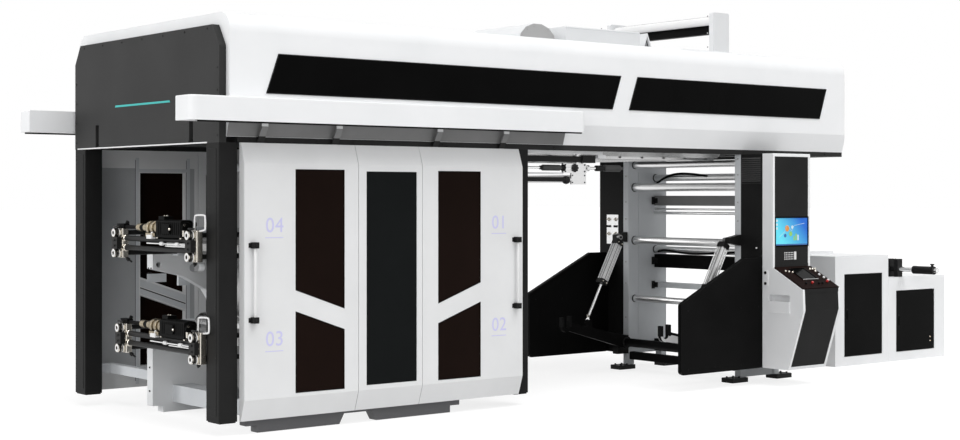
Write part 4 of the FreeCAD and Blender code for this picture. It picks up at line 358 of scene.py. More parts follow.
class Piece:
    # Gathers boxes, folded plates and turned shapes in the drawing frame into one mesh.
    def __init__(self, name, material, body="press_frame"):
        self.name = name
        self.material = material
        self.body = body
        self.mesh = bmesh.new()
        self.place = same

    def vert(self, x, y, z):
        return self.mesh.verts.new(ORIGIN + self.place(Vector((x, y, z))))

    def prism(self, points, offset):
        near = [self.vert(*point) for point in points]
        far = [self.vert(*(Vector(point) + Vector(offset))) for point in points]
        count = len(points)
        self.mesh.faces.new(near)
        self.mesh.faces.new(far[::-1])
        for i in range(count):
            j = (i + 1) % count
            self.mesh.faces.new((near[i], far[i], far[j], near[j]))

    def box(self, x0, x1, y0, y1, z0, z1):
        self.prism(((x0, y0, z0), (x1, y0, z0), (x1, y0, z1), (x0, y0, z1)), (0, y1 - y0, 0))

    def turned(self, start, axis, profile, sides=24, loop=False):
        # Revolves (distance along the axis, radius) pairs about an axis through the start. A
        # looped profile closes on itself, which leaves a hole through the middle.
        axis = Vector(AXES[axis] if isinstance(axis, str) else axis).normalized()
        side = axis.orthogonal().normalized()
        other = axis.cross(side)
        rings = []
        for along, radius in profile:
            ring = []
            for i in range(sides):
                angle = 2 * math.pi * i / sides
                point = Vector(start) + axis * along
                point = point + (side * math.cos(angle) + other * math.sin(angle)) * radius
                ring.append(self.vert(*point))
            rings.append(ring)
        if loop:
            rings.append(rings[0])
        else:
            self.mesh.faces.new(rings[0])
            self.mesh.faces.new(rings[-1][::-1])
        for a, b in zip(rings, rings[1:]):
            for i in range(sides):
                j = (i + 1) % sides
                self.mesh.faces.new((a[i], b[i], b[j], a[j]))

    def rod(self, start, axis, length, radius, sides):
        self.turned(start, axis, ((0, radius), (length, radius)), sides)

    def bolt(self, point, axis, size, reach):
        # A hex head with a washer under it, standing on a face.
        washer = size * 0.18
        self.rod(point, axis, washer, size * 1.1, 16)
        self.turned(Vector(point) + Vector(AXES[axis]) * washer, axis,
                    ((0, size * 0.9), (reach * 0.8, size * 0.9), (reach, size * 0.72)), 6)

    def done(self, bevel=0.0012):
        bmesh.ops.recalc_face_normals(self.mesh, faces=self.mesh.faces)
        data = bpy.data.meshes.new(self.name)
        self.mesh.to_mesh(data)
        self.mesh.free()
        for polygon in data.polygons:
            polygon.use_smooth = True
        data.set_sharp_from_angle(angle=math.radians(35))
        data.materials.append(self.material)
        made = bpy.data.objects.new(self.name, data)
        bpy.context.scene.collection.objects.link(made)
        if bevel:
            modifier = made.modifiers.new("edges", "BEVEL")
            modifier.width = bevel
            modifier.segments = 2
            modifier.limit_method = "ANGLE"
            modifier.angle_limit = math.radians(40)
        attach(made, self.body)


def put(place, *pieces):
    # Sets where what these pieces are given next is drawn.
    for piece in pieces:
        piece.place = place


def finish(bevel, *pieces):
    for piece in pieces:
        piece.done(bevel)


def bar(name, points, radius, material, place=same):
    # A bent round bar through a few points.
    curve = bpy.data.curves.new(name, "CURVE")
    curve.dimensions = "3D"
    curve.bevel_depth = radius
    curve.bevel_resolution = 4
    curve.use_fill_caps = True
    curve.resolution_u = 8
    spline = curve.splines.new("NURBS")
    spline.points.add(len(points) - 1)
    for target, point in zip(spline.points, points):
        target.co = (*(ORIGIN + place(Vector(point))), 1.0)
    spline.order_u = 3
    spline.use_endpoint_u = True
    curve.materials.append(material)
    made = bpy.data.objects.new(name, curve)
    bpy.context.scene.collection.objects.link(made)
    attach(made, "press_frame")


def spread(first, last, count):
    # Evenly spaced places from the first to the last.
    return [first + i * (last - first) / (count - 1) for i in range(count)]


def arc(centre, radius, start, end, steps):
    # Points in x and z on an arc, from one angle in half turns to another.
    points = []
    for step in range(steps + 1):
        angle = math.pi * (start + (end - start) * step / steps)
        points.append((centre[0] + radius * math.cos(angle), centre[1] + radius * math.sin(angle)))
    return points


# End panel and posts


def end_panel_details():
    line = Piece("end_panel_trim_line", TRIM_TEAL)
    half = 0.535
    slant = 0.012
    low_z = 2.841
    high_z = 2.859
    y0 = panel.ym - half
    y1 = panel.ym + half
    line.prism(((-0.002, y0, low_z), (-0.002, y1, low_z), (-0.002, y1 - slant, high_z),
                (-0.002, y0 + slant, high_z)), (0.002, 0, 0))
    line.done(0.0005)
    screws = Piece("end_panel_screws", DARK_STEEL)
    for y in (0.03, panel.y1 - 0.03):
        for z in spread(panel.z0 + 0.06, panel.z1 - 0.18, 5)[:4]:
            screws.bolt((0.0, y, z), "-x", 0.008, 0.004)
    for y in spread(0.2, panel.y1 - 0.2, 7):
        screws.bolt((0.0, y, panel.z1 - 0.03), "-x", 0.008, 0.004)
    screws.done(0.0004)
    lip = Piece("end_panel_light_lip", RUBBER)
    lip.box(-0.004, 0.0, 0.2, DEPTH - 0.06, panel.z0 - 0.004, panel.z0 + 0.008)
    lip.done(0.001)
    ceiling = Piece("enclosure_ceiling", TRIM_DARK)
    ceiling.box(0.03, posts.x1 - 0.05, 0.12, DEPTH - 0.12, hood.z0 - 0.005, hood.z0)
    ceiling.done(0)
    fold = Piece("end_panel_fold", PANEL_GREY)
    for side, y1 in zip(SIDES, (DEPTH - 0.52, 0.53)):
        fold.place = side
        fold.box(-0.004, 0.0, 0.52, y1, panel.z0 + 0.012, panel.z0 + 0.03)
    fold.done(0.001)


def post_details():
    # A cover strip with screws down the outer face of each post, and a foot plate.
    strips = Piece("post_cover_strips", POST_BLACK)
    screws = Piece("post_screws", DARK_STEEL)
    caps = Piece("post_foot_plates", DARK_STEEL)
    for side in SIDES:
        for x_side in (same, flip_x(posts.xm)):
            put(both(side, x_side), strips, screws, caps)
            strips.box(-0.003, 0.0, 0.045, 0.185, posts.z0 + 0.05, posts.z1 - 0.05)
            for z in spread(posts.z0 + 0.12, posts.z1 - 0.12, 6):
                screws.bolt((-0.003, 0.058, z), "-x", 0.005, 0.003)
                screws.bolt((-0.003, 0.172, z), "-x", 0.005, 0.003)
            caps.box(0.012, 0.166, 0.012, 0.21, posts.z0 - 0.012, posts.z0)
            for x in (0.035, 0.143):
                for y in (0.035, 0.187):
                    caps.bolt((x, y, posts.z0 - 0.012), "z", 0.008, 0.01)
    strips.done()
    screws.done(0)
    caps.done()


# Hood


def hood_details():
    rims = Piece("hood_window_rims", DARK_STEEL)
    windows = Span("hood_windows")
    y = windows.y0 - 0.0015
    z0 = windows.z0
    z1 = windows.z1
    first_start = 0.54
    gap_start = 4.581
    gap_end = 4.811
    slant = 0.122
    width = 0.007
    near = width * 0.7
    far = width * 1.4
    for side in SIDES:
        rims.place = side
        for start, end in ((first_start, gap_start), (gap_end, windows.x1)):
            outer = ((start - slant, y, z0), (start, y, z1), (end, y, z1), (end - slant, y, z0))
            inner = ((start - slant + far, y, z0 + width), (start + near, y, z1 - width),
                     (end - far, y, z1 - width), (end - slant - near, y, z0 + width))
            for i in range(4):
                j = (i + 1) % 4
                rims.prism((outer[i], outer[j], inner[j], inner[i]), (0, 0.003, 0))
    rims.done(0)
    seams = Piece("hood_seam_strips", WHITE)
    bolts = Piece("hood_bolts", DARK_STEEL)
    end = hood.x1
    seams.box(end, end + 0.002, 0.12, DEPTH - 0.12, hood.z0 + 0.03, hood.z0 + 0.045)
    for z in spread(hood.z0 + 0.12, hood.z0 + 0.84, 5):
        for y in (0.1, DEPTH - 0.1):
            bolts.bolt((end, y, z), "x", 0.008, 0.005)
    for x in spread(0.3, hood.x1 - 0.3, 12):
        for side in SIDES:
            bolts.place = side
            bolts.bolt((x, 0.0, beams.zm), "-y", 0.009, 0.006)
    seams.done()
    bolts.done(0)


def skirt_details():
    # A grey sheet of painted shade on the hood's sloping lower edge, where the rail covers shade it,
    # and the dark caps on the centre panels.
    skirt = Piece("hood_shade_skirts", SHADE_AND_LIGHT_GREY)
    caps = Piece("centre_top_caps", BEAM_GREY)
    slope = 0.06 / 0.199
    thickness = 0.003
    x0 = hood.x0 + 0.003
    low_z = hood.z0 + 0.002
    high_z = 2.7
    low_y = -slope * (low_z - hood.z0) - 0.001
    high_y = -slope * (high_z - hood.z0) - 0.001
    for side in SIDES:
        put(side, skirt, caps)
        skirt.prism(((x0, low_y, low_z), (x0, high_y, high_z), (x0, high_y - thickness, high_z),
                     (x0, low_y - thickness, low_z)), (covers.x1 - x0 - 0.03, 0, 0))
        caps.box(1.35, 2.054, -0.0145, -0.0125, 2.4705, 2.502)
    skirt.done(0.0008)
    caps.done(0)


def rail_cover_details():
    seal = Piece("rail_cover_seals", SEAL)
    screws = Piece("rail_cover_screws", NICKEL)
    x0 = covers.x0 + 0.06
    x1 = covers.x1 - 0.06
    front = covers.y0
    z = covers.z0
    for side in SIDES:
        put(side, seal, screws)
        seal.box(x0, x1, front + 0.004, front + 0.009, z - 0.014, z + 0.004)
        seal.box(x0, x1, front + 0.009, front + 0.04, z - 0.004, z)
        for y in (front + 0.09, front + 0.2):
            for screw_z in (z + 0.03, covers.z1 - 0.03):
                screws.bolt((covers.x1, y, screw_z), "x", 0.006, 0.004)
    seal.done(0.0008)
    screws.done(0)


# Doors


# The doors' outer face and the bars' inner one, and each number with its lower left corner.
DOOR_FACE = -0.09
DOOR_BACK = -0.006
NUMBERS = {"left": (("04", 0.395, 1.713), ("03", 0.395, 0.748)),
           "right": (("01", 2.868, 1.713), ("02", 2.868, 0.748))}
NUMBER_WIDTH = 0.19


def door_text(name, words, point, turn, body):
    data = bpy.data.curves.new(name, "FONT")
    data.body = words
    data.size = 0.178
    data.extrude = 0.0004
    data.space_character = 1.05
    data.materials.append(LILAC)
    made = bpy.data.objects.new(name, data)
    bpy.context.scene.collection.objects.link(made)
    made.matrix_world = (Matrix.Translation(ORIGIN + Vector(point))
                         @ Matrix.Rotation(turn, 4, "Z") @ Matrix.Rotation(math.pi / 2.0, 4, "X"))
    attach(made, body)


def door_piece(name, material, label, place):
    piece = Piece(name + "_" + label, material, "door_" + label)
    piece.place = place
    return piece


def door_details(side_name, place):
    # The rear doors repeat the front ones, with their numbers turned to read from behind.
    for hand, numbers in NUMBERS.items():
        label = side_name + "_" + hand
        marks = door_piece("door_number_lines", LILAC, label, place)
        for words, x, z in numbers:
            point = (x, DOOR_FACE - 0.0006, z)
            turn = 0.0
            if side_name == "rear":
                point = (x + NUMBER_WIDTH, DEPTH - point[1], z)
                turn = math.pi
            door_text("door_number_" + words + "_" + side_name, words, point, turn, "door_" + label)
            marks.box(x - 0.002, x + 0.176, DOOR_FACE - 0.001, DOOR_FACE, z - 0.050, z - 0.043)
        marks.done(0)
        gasket = door_piece("door_pane_gaskets", SEAL, label, place)
        for outline in door_panes(hand):
            ring(gasket, outline, DOOR_FACE - 0.0015, 0.006, 0.0035)
        gasket.done(0)
        door_bars(hand, label, place)
        handle_fittings(hand, label, place)
    for hand in NUMBERS:
        hanger_sleeves(hand, side_name + "_" + hand, place)


def door_panes(hand):
    # The pane outlines, read from the glass nodes' boxes with the slant of their facing edges.
    glass = Span("glass_front_" + hand)
    middle = 1.033
    gap = 0.18
    rise = 0.178
    left_rise = rise if hand == "left" else 0.0
    right_rise = 0.0 if hand == "left" else rise
    upper = ((glass.x0, middle + left_rise), (glass.x0, glass.z1), (glass.x1, glass.z1),
             (glass.x1, middle + right_rise))
    lower = ((glass.x0, glass.z0), (glass.x0, middle + left_rise - gap),
             (glass.x1, middle + right_rise - gap), (glass.x1, glass.z0))
    return upper, lower


def lining(piece, x0, x1, z0, z1, upper, lower):
    # An inner sheet that closes a door's folded pan round its two panes.
    y0 = -0.0095
    y1 = -0.0078
    pane_x0 = upper[0][0]
    pane_x1 = upper[2][0]
    piece.box(x0, pane_x0, y0, y1, z0, z1)
    piece.box(pane_x1, x1, y0, y1, z0, z1)
    piece.box(pane_x0, pane_x1, y0, y1, upper[1][1], z1)
    piece.box(pane_x0, pane_x1, y0, y1, z0, lower[0][1])
    if upper[0][1] > lower[1][1]:
        between = (upper[0], upper[3], lower[2], lower[1])
        piece.prism([(x, y0, z) for x, z in between], (0, y1 - y0, 0))


def centre_lining():
    glass = Span("centre_glass")
    centre = Span("centre_panels")
    sheet = Piece("centre_inner_lining", FRAME_PAINT)
    outline = ((glass.x0, 1.0), (glass.x0, glass.z1), (glass.x1, glass.z1), (glass.x1, 1.0))
    below = ((glass.x0, glass.z0), (glass.x0, 1.0), (glass.x1, 1.0), (glass.x1, glass.z0))
    for side in SIDES:
        sheet.place = side
        lining(sheet, centre.x0 + 0.004, centre.x1 - 0.004, centre.z0 + 0.01, 2.42, outline, below)
    sheet.done(0)


def door_bars(hand, label, place):
    # Folded bars beside and between the panes on the door's inner face, with flat dark strips as painted
    # shadow for the gaps.
    door = Span("door_front_" + hand)
    bars = door_piece("door_inner_bars", CASTING, label, place)
    gaps = door_piece("door_inner_gap_shadows", TRIM_DARK, label, place)
    upper, lower = door_panes(hand)
    sheet = door_piece("door_inner_lining", FRAME_PAINT, label, place)
    lining(sheet, door.x0 + 0.008, door.x1 - 0.008, door.z0 + 0.008, 2.44, upper, lower)
    sheet.done(0)
    x0 = upper[0][0]
    x1 = upper[2][0]
    back = DOOR_BACK
    face = back + 0.0016
    for start, end in ((x0 - 0.05, x0 - 0.012), (x1 + 0.012, x1 + 0.05)):
        bars.box(start, end, back, face, door.z0 + 0.03, 2.4)
        gaps.box(start - 0.005, start, back, back + 0.0012, door.z0 + 0.06, 2.38)
    za = upper[0][1]
    zb = upper[3][1]
    for shift, width, piece in ((-0.02, 0.07, bars), (-0.1, 0.012, gaps), (-0.115, 0.05, bars)):
        top_a = za + shift
        top_b = zb + shift
        piece.prism(((x0, back, top_a), (x1, back, top_b), (x1, back, top_b - width),
                     (x0, back, top_a - width)), (0, 0.0016, 0))
    bars.box(x0 - 0.012, x1 + 0.012, back, face, upper[1][1] + 0.01, upper[1][1] + 0.04)
    bars.box(x0 - 0.012, x1 + 0.012, back, face, lower[0][1] - 0.04, lower[0][1] - 0.012)
    finish(0, bars, gaps)


def ring(piece, outline, y, width, thickness):
    # A flat frame round an outline in x and z, drawn inward by a width.
    middle = Vector((sum(x for x, z in outline), sum(z for x, z in outline))) / len(outline)
    inner = []
    for x, z in outline:
        inner.append((x + math.copysign(width, middle.x - x), z + math.copysign(width, middle.y - z)))
    for i in range(len(outline)):
        j = (i + 1) % len(outline)
        quad = (outline[i], outline[j], inner[j], inner[i])
        piece.prism([(x, y, z) for x, z in quad], (0, thickness, 0))


def handle_fittings(hand, label, place):
    # The handle's grip sleeve and end caps, and the bolts of its blocks.
    handle = Span("handle_front_" + hand)
    x = handle.xm
    clamp_y = DOOR_FACE - 0.006
    sleeve = door_piece("handle_sleeve", RUBBER, label, place)
    length = handle.z1 - handle.z0 - 0.104
    sleeve.turned((x, handle.y0 + 0.02, handle.z0 + 0.052), "z",
                  ((0, 0.0105), (0.006, 0.013), (length - 0.006, 0.013), (length, 0.0105)), 20)
    sleeve.done(0)
    caps = door_piece("handle_clamps", DARK_STEEL, label, place)
    for z in (handle.z0 + 0.026, handle.z1 - 0.026):
        caps.bolt((x, handle.y0, z), "-y", 0.009, 0.007)
        for dx in (-0.045, 0.045):
            caps.box(x + min(dx, 0), x + max(dx, 0), clamp_y, DOOR_FACE, z - 0.02, z + 0.02)
            caps.bolt((x + dx * 0.82, clamp_y, z), "-y", 0.006, 0.004)
    caps.done()


def hanger_sleeves(hand, label, place):
    # Sleeves over the sloping part of the doors' straps: dark at the beam, and grey at the skirt as
    # painted shade.
    def strap_y(z):
        return -0.004 - 0.081 * (z - 2.472) / 0.136

    door = Span("door_front_" + hand)
    thick = 0.0145
    for name, material, z0, z1 in (("hanger_shoes", BEAM_GREY, 2.472, 2.526),
                                   ("hanger_sleeves", SHADE_AND_LIGHT_GREY, 2.526, 2.608)):
        piece = door_piece(name, material, label, place)
        for start in (door.x0 + 0.17, door.x1 - 0.23):
            x = start - 0.0015
            piece.prism(((x, strap_y(z0), z0), (x, strap_y(z1), z1), (x, strap_y(z1) - thick, z1),
                         (x, strap_y(z0) - thick, z0)), (0.063, 0, 0))
        piece.done(0)


# Print decks and side frames


# The brackets' and nuts' places across the machine, where the deck rods end, and the gear rings.
BRACKET_Y = 0.266
NUT_OFFSET = 0.092
ROD_END_Y = 0.331
GEAR_Y = (0.8705, 0.9505, 1.0305)


def deck_details():
    upper_x = brackets.x0 + 0.09
    levels = ((upper_x, brackets.z1 - 0.135), (upper_x + 0.035, brackets.z0 + 0.135))
    y = BRACKET_Y
    caps = Piece("deck_nut_caps", RUBBER)
    sockets = Piece("deck_nut_sockets", DARK_STEEL)
    locks = Piece("deck_lock_blocks", DARK_STEEL)
    levers = Piece("deck_levers", DARK_STEEL)
    faces = Piece("deck_bracket_faces", NICKEL)
    collars = Piece("deck_rod_collars", NICKEL)
    for place in DECKS:
        put(place, caps, sockets, locks, levers, faces, collars)
        for x, z in levels:
            for nut_z in (z - NUT_OFFSET, z + NUT_OFFSET):
                deck_nut(caps, sockets, x, y, nut_z)
            locks.box(x - 0.079, x - 0.029, y - 0.049, y + 0.049, z - 0.053, z + 0.053)
            locks.bolt((x - 0.079, y, z + 0.025), "-x", 0.011, 0.009)
            locks.bolt((x - 0.079, y, z - 0.025), "-x", 0.011, 0.009)
            levers.turned((x - 0.05, y - 0.06, z + 0.148), "y",
                          ((0, 0.007), (0.004, 0.009), (0.1, 0.009), (0.104, 0.007)), 14)
            levers.rod((x - 0.05, y, z + 0.13), "z", 0.02, 0.006, 12)
            levers.turned((x + 0.01, y + 0.02, z + 0.13), (0.1, 0.35, 0.5),
                          ((0, 0.007), (0.05, 0.007), (0.052, 0.016), (0.078, 0.018),
                           (0.082, 0.012)), 14)
            levers.turned((x + 0.012, y + 0.03, z - 0.13), (0.25, 0.6, -0.35),
                          ((0, 0.007), (0.03, 0.007), (0.032, 0.017), (0.05, 0.018),
                           (0.052, 0.01), (0.09, 0.008)), 14)
            faces.box(x - 0.0335, x - 0.0295, y - 0.06, y + 0.06, z - 0.13, z + 0.13)
            for dy in (-0.042, 0.042):
                for dz in (-0.05, 0.0, 0.05):
                    faces.bolt((x - 0.0335, y + dy, z + dz), "-x", 0.007, 0.005)
            for dz in (-0.042, 0.042):
                collars.turned((x, ROD_END_Y, z + dz), "y",
                               ((0, 0.034), (0.026, 0.034), (0.03, 0.029)), 24)
    finish(0, caps, sockets, locks, levers, faces, collars)
    deck_drives(levels)


def deck_nut(caps, sockets, x, y, z):
    # A pale cap and a pale ring on a large nut, with dark rings between them and a dark socket.
    caps.turned((x - 0.093, y, z), "x",
                ((0.016, 0.0345), (0.003, 0.0345), (0, 0.0315), (0, 0.019), (0.014, 0.019)), 28)
    sockets.turned((x - 0.078, y, z), "x", ((0, 0.0385), (0.016, 0.04)), 28)
    caps.rod((x - 0.05, y, z), "x", 0.01, 0.0405, 28)
    sockets.rod((x - 0.083, y, z), "x", 0.004, 0.0185, 6)
    sockets.rod((x - 0.056, y, z), "x", 0.006, 0.0405, 28)


def deck_drives(levels):
    brass = Piece("deck_gear_rings", BRASS)
    dark = Piece("deck_motor_covers", BLACK)
    bright = Piece("deck_motor_fittings", NICKEL)
    pale = Piece("deck_valve_blocks", RUBBER)
    thin = Piece("deck_guide_rods", CHROME)
    for place in (same, flip_x(DRUM_X)):
        put(place, brass, dark, bright, pale, thin)
        for x, z in levels:
            axis_z = z + 0.146
            deck_motor(dark, bright, x, z, axis_z)
            deck_gears(brass, dark, x, z, axis_z)
            deck_feed(pale, thin, bright, x, z)
            deck_hook(x, z, place)
    finish(0, brass, dark, bright, pale, thin)


def deck_motor(dark, bright, x, z, axis_z):
    # The motor's ribs, its side and top boxes, its flange and the plugs on it.
    for y in spread(0.46, 0.82, 11):
        dark.box(x - 0.0635, x - 0.06, y, y + 0.012, z + 0.09, z + 0.2)
        dark.box(x - 0.05, x + 0.05, y, y + 0.012, z + 0.216, z + 0.2195)
    dark.box(x - 0.078, x - 0.06, 0.6, 0.72, z + 0.1, z + 0.18)
    dark.box(x - 0.045, x + 0.045, 0.75, 0.85, z + 0.2195, z + 0.25)
    dark.turned((x, 0.415, axis_z), "y", ((0, 0.03), (0, 0.05), (0.016, 0.056)), 28)
    bright.rod((x - 0.03, 0.405, axis_z + 0.03), "y", 0.012, 0.012, 16)
    bright.box(x - 0.05, x - 0.02, 0.385, 0.415, z + 0.08, z + 0.13)
    bright.turned((x - 0.069, 0.585, z + 0.14), "y", ((0, 0.011), (0.015, 0.014)), 16)
    for y in (0.78, 0.82):
        bright.bolt((x, y, z + 0.25), "z", 0.008, 0.006)


def deck_gears(brass, dark, x, z, axis_z):
    # The gear rings on their hub, the coupling, and the shaft behind it with its block.
    for y in GEAR_Y:
        brass.turned((x, y, axis_z), "y",
                     ((0, 0.056), (0.004, 0.0605), (0.037, 0.0605), (0.041, 0.056)), 30)
    brass.rod((x, 0.91, axis_z), "y", 0.16, 0.047, 24)
    brass.turned((x, 1.11, axis_z), "y", ((0, 0.0345), (0.06, 0.0345), (0.063, 0.03), (0.126, 0.03),
                                          (0.129, 0.0345), (0.192, 0.0345)), 26)
    brass.box(x - 0.062, x - 0.05, 0.89, 1.06, z + 0.07, z + 0.1)
    dark.rod((x, 1.3, axis_z), "y", 0.25, 0.017, 20)
    dark.box(x - 0.03, x + 0.03, 1.55, 1.68, z + 0.134, z + 0.175)


def deck_feed(pale, thin, bright, x, z):
    # The valve block, two thin guide rods with their sleeves, and the clamps on the deck rods.
    pale.box(x - 0.075, x - 0.03, 0.93, 1.02, z + 0.05, z + 0.085)
    pale.turned((x - 0.052, 0.955, z + 0.085), "z", ((0, 0.012), (0.02, 0.012), (0.026, 0.008)), 18)
    thin.rod((x - 0.036, ROD_END_Y, z + 0.01), "y", 0.75, 0.007, 14)
    thin.rod((x - 0.03, ROD_END_Y, z - 0.008), "y", 0.42, 0.006, 14)
    for y in (0.5, 0.78):
        pale.turned((x - 0.036, y, z + 0.01), "y",
                    ((0, 0.012), (0.008, 0.017), (0.05, 0.017), (0.058, 0.012)), 18)
    for y in (0.44, 0.86):
        bright.box(x - 0.055, x + 0.055, y - 0.012, y + 0.012, z + 0.056, z + 0.067)


def deck_hook(x, z, place):
    # A pale bent bar over each bracket, as a route in y and in height over the deck.
    route = ((0.29, 0.13), (0.288, 0.246), (0.274, 0.262), (0.122, 0.266), (0.108, 0.252),
             (0.105, 0.15), (0.118, 0.135), (0.2, 0.13))
    name = "deck_hook_" + str(round(z, 1)) + ("_left" if place is same else "_right")
    bar(name, [(x, y, z + rise) for y, rise in route], 0.008, RUBBER, place)


def side_frame_details():
    rims = Piece("frame_bore_rims", NICKEL)
    bolts = Piece("frame_bolts", DARK_STEEL)
    guides = Piece("frame_guide_blocks", CASTING)
    holes = Piece("frame_guide_sockets", SEAL)
    slot_rims = Piece("frame_slot_rims", CASTING)
    x = frames.x0
    face = frames.y0
    bore = (x + 0.062, 1.379)
    slot = (x + 0.467, 1.341)
    slot_half = 0.043
    slot_radius = 0.046
    right_end = arc((slot[0] + slot_half, slot[1]), slot_radius, -0.5, 0.5, 8)
    left_end = arc((slot[0] - slot_half, slot[1]), slot_radius, 0.5, 1.5, 8)
    for place in DECKS:
        put(place, rims, bolts, guides, holes, slot_rims)
        rims.turned((bore[0], face + 0.001, bore[1]), "-y",
                    ((0, 0.0265), (0, 0.033), (0.004, 0.031), (0.004, 0.0265)), 28, loop=True)
        holes.rod((bore[0], face + 0.03, bore[1]), "y", 0.004, 0.0262, 24)
        for z in (1.3, 1.345):
            bolts.bolt((x, face + 0.03, z), "-x", 0.008, 0.006)
            bolts.bolt((x, face + 0.08, z), "-x", 0.008, 0.006)
        ring(slot_rims, right_end + left_end, face - 0.003, 0.005, 0.0035)
        guides.box(x + 0.327, x + 0.417, face - 0.03, face, 1.171, 1.266)
        holes.box(x + 0.352, x + 0.392, face - 0.0305, face - 0.028, 1.2, 1.243)
        guides.box(x, x + 0.2, face - 0.004, face, 1.21, 1.29)
        for z in (0.62, 0.42, 0.2):
            bolts.bolt((x, face + 0.055, z), "-x", 0.009, 0.007)
            bolts.bolt((x + 0.05, face, z), "-y", 0.009, 0.007)
    finish(0.0006, rims, bolts, guides, holes, slot_rims)


def drum_bolts():
    drum = Span("impression_drum")
    bolts = Piece("drum_rim_bolts", NICKEL)
    for place in PRINT_ENDS:
        bolts.place = place
        for x, z in arc((DRUM_X, drum.zm), 0.56, 0, 2, 16)[:-1]:
            bolts.bolt((x, drum.y0 + 0.03, z), "-y", 0.012, 0.01)
    bolts.done(0)


# Under the hood between the enclosure and the winder


def guide_details():
    # The web guide's actuators left and right of its plate, and the bars beside them.
    y = guide.y0
    post_x = posts.x1
    z = guide.z0 + 0.164
    plate_x0 = 3.938
    plate_x1 = 4.25
    hub_x = 4.09
    left_x = 3.66
    right_x = 4.495
    black = Piece("guide_actuator_black", DARK_STEEL)
    chrome = Piece("guide_actuator_rods", CHROME)
    bright = Piece("guide_actuator_blocks", ALUMINIUM)
    left = Piece("guide_actuator_barrels", TRIM_DARK)
    white = Piece("guide_light_strip", WHITE)
    right = Piece("guide_actuator_right", TRIM_DARK)
    black.box(post_x, 4.33, y - 0.012, y + 0.03, 2.357, 2.417)
    black.box(4.18, 4.35, y - 0.03, y + 0.05, 2.352, 2.43)
    white.box(post_x, 4.46, y - 0.02, y + 0.05, 2.437, 2.468)
    white.box(4.40, 4.50, y - 0.02, y + 0.04, 2.4, 2.437)
    chrome.rod((post_x, y, z), "x", 0.3, 0.012, 16)
    left.turned((left_x, y, z), "x", ((0, 0.024), (0.01, 0.03), (0.23, 0.03), (0.24, 0.024)), 24)
    black.turned((left_x - 0.03, y, z), "x", ((0, 0.018), (0.03, 0.022)), 18)
    black.turned((left_x + 0.24, y, z), "x",
                 ((0, 0.022), (0.03, 0.022), (0.032, 0.034), (0.05, 0.034)), 18)
    chrome.rod((left_x + 0.24, y, z), "x", 0.16, 0.01, 14)
    for knob_x, knob_z in arc((hub_x, z), 0.03, 0, 2, 8)[:-1]:
        black.turned((knob_x, y - 0.02, knob_z), "y", ((0, 0.012), (0.02, 0.013)), 12)
    black.turned((hub_x, y - 0.024, z), "y", ((0, 0.024), (0.004, 0.032), (0.024, 0.032)), 20)
    bright.box(plate_x0, plate_x1, y - 0.006, y + 0.02, guide.z0 + 0.113, guide.z0 + 0.209)
    for x in (plate_x0 + 0.027, plate_x1 - 0.025):
        for dz in (0.13, 0.195):
            black.bolt((x, y - 0.006, guide.z0 + dz), "-y", 0.008, 0.006)
    for x in (4.065, 4.23):
        for dz in (0.02, 0.09):
            black.bolt((x, y, guide.z0 + dz), "-y", 0.007, 0.005)
    chrome.rod((plate_x1, y, z), "x", 0.135, 0.014, 16)
    bright.rod((plate_x1, y, z), "x", 0.03, 0.03, 20)
    black.turned((right_x - 0.111, y, z), "x",
                 ((0, 0.03), (0.08, 0.03), (0.082, 0.022), (0.111, 0.022)), 20)
    right.turned((right_x, y, z), "x",
                 ((0, 0.026), (0.008, 0.034), (0.215, 0.034), (0.224, 0.026)), 24)
    right.rod((right_x + 0.224, y, z), "x", 0.04, 0.012, 16)
    black.rod((post_x, y, guide.z0 + 0.048), "x", 0.56, 0.022, 20)
    black.turned((3.945, y, guide.z0 + 0.043), "x",
                 ((0, 0.02), (0.012, 0.036), (0.035, 0.042), (0.058, 0.036), (0.07, 0.02)), 20)
    bright.rod((4.0, y, guide.z0 + 0.048), "x", 0.05, 0.016, 16)
    white.rod((post_x, y, 2.245), "x", 0.54, 0.008, 12)
    finish(0, black, chrome, bright, left, white, right)


def dryer_rails():
    rails = Piece("dryer_service_rails", ALUMINIUM)
    z = dryer.z0
    for y in (dryer.y0 + 0.06, dryer.y1 - 0.09):
        rails.box(dryer.x0 + 0.05, dryer.x1 - 0.05, y, y + 0.03, z - 0.028, z)
    for x in spread(dryer.x0 + 0.2, dryer.x1 - 0.2, 9):
        rails.box(x, x + 0.04, dryer.y0 + 0.06, dryer.y1 - 0.06, z - 0.018, z)
    rails.done(0.001)


# Winder


# The winder's cross beams: their sides, their far end, and their lower and upper faces.
BEAM_X0 = 6.857
BEAM_X1 = 6.993
BEAM_END_Y = 1.74
BRUSH_BEAM = (1.91, 2.02)
MIDDLE_BEAM = (1.18, 1.33)
FOOT_BEAM = (0.195, 0.33)
SMALL_BEAM = (0.94, 1.0)


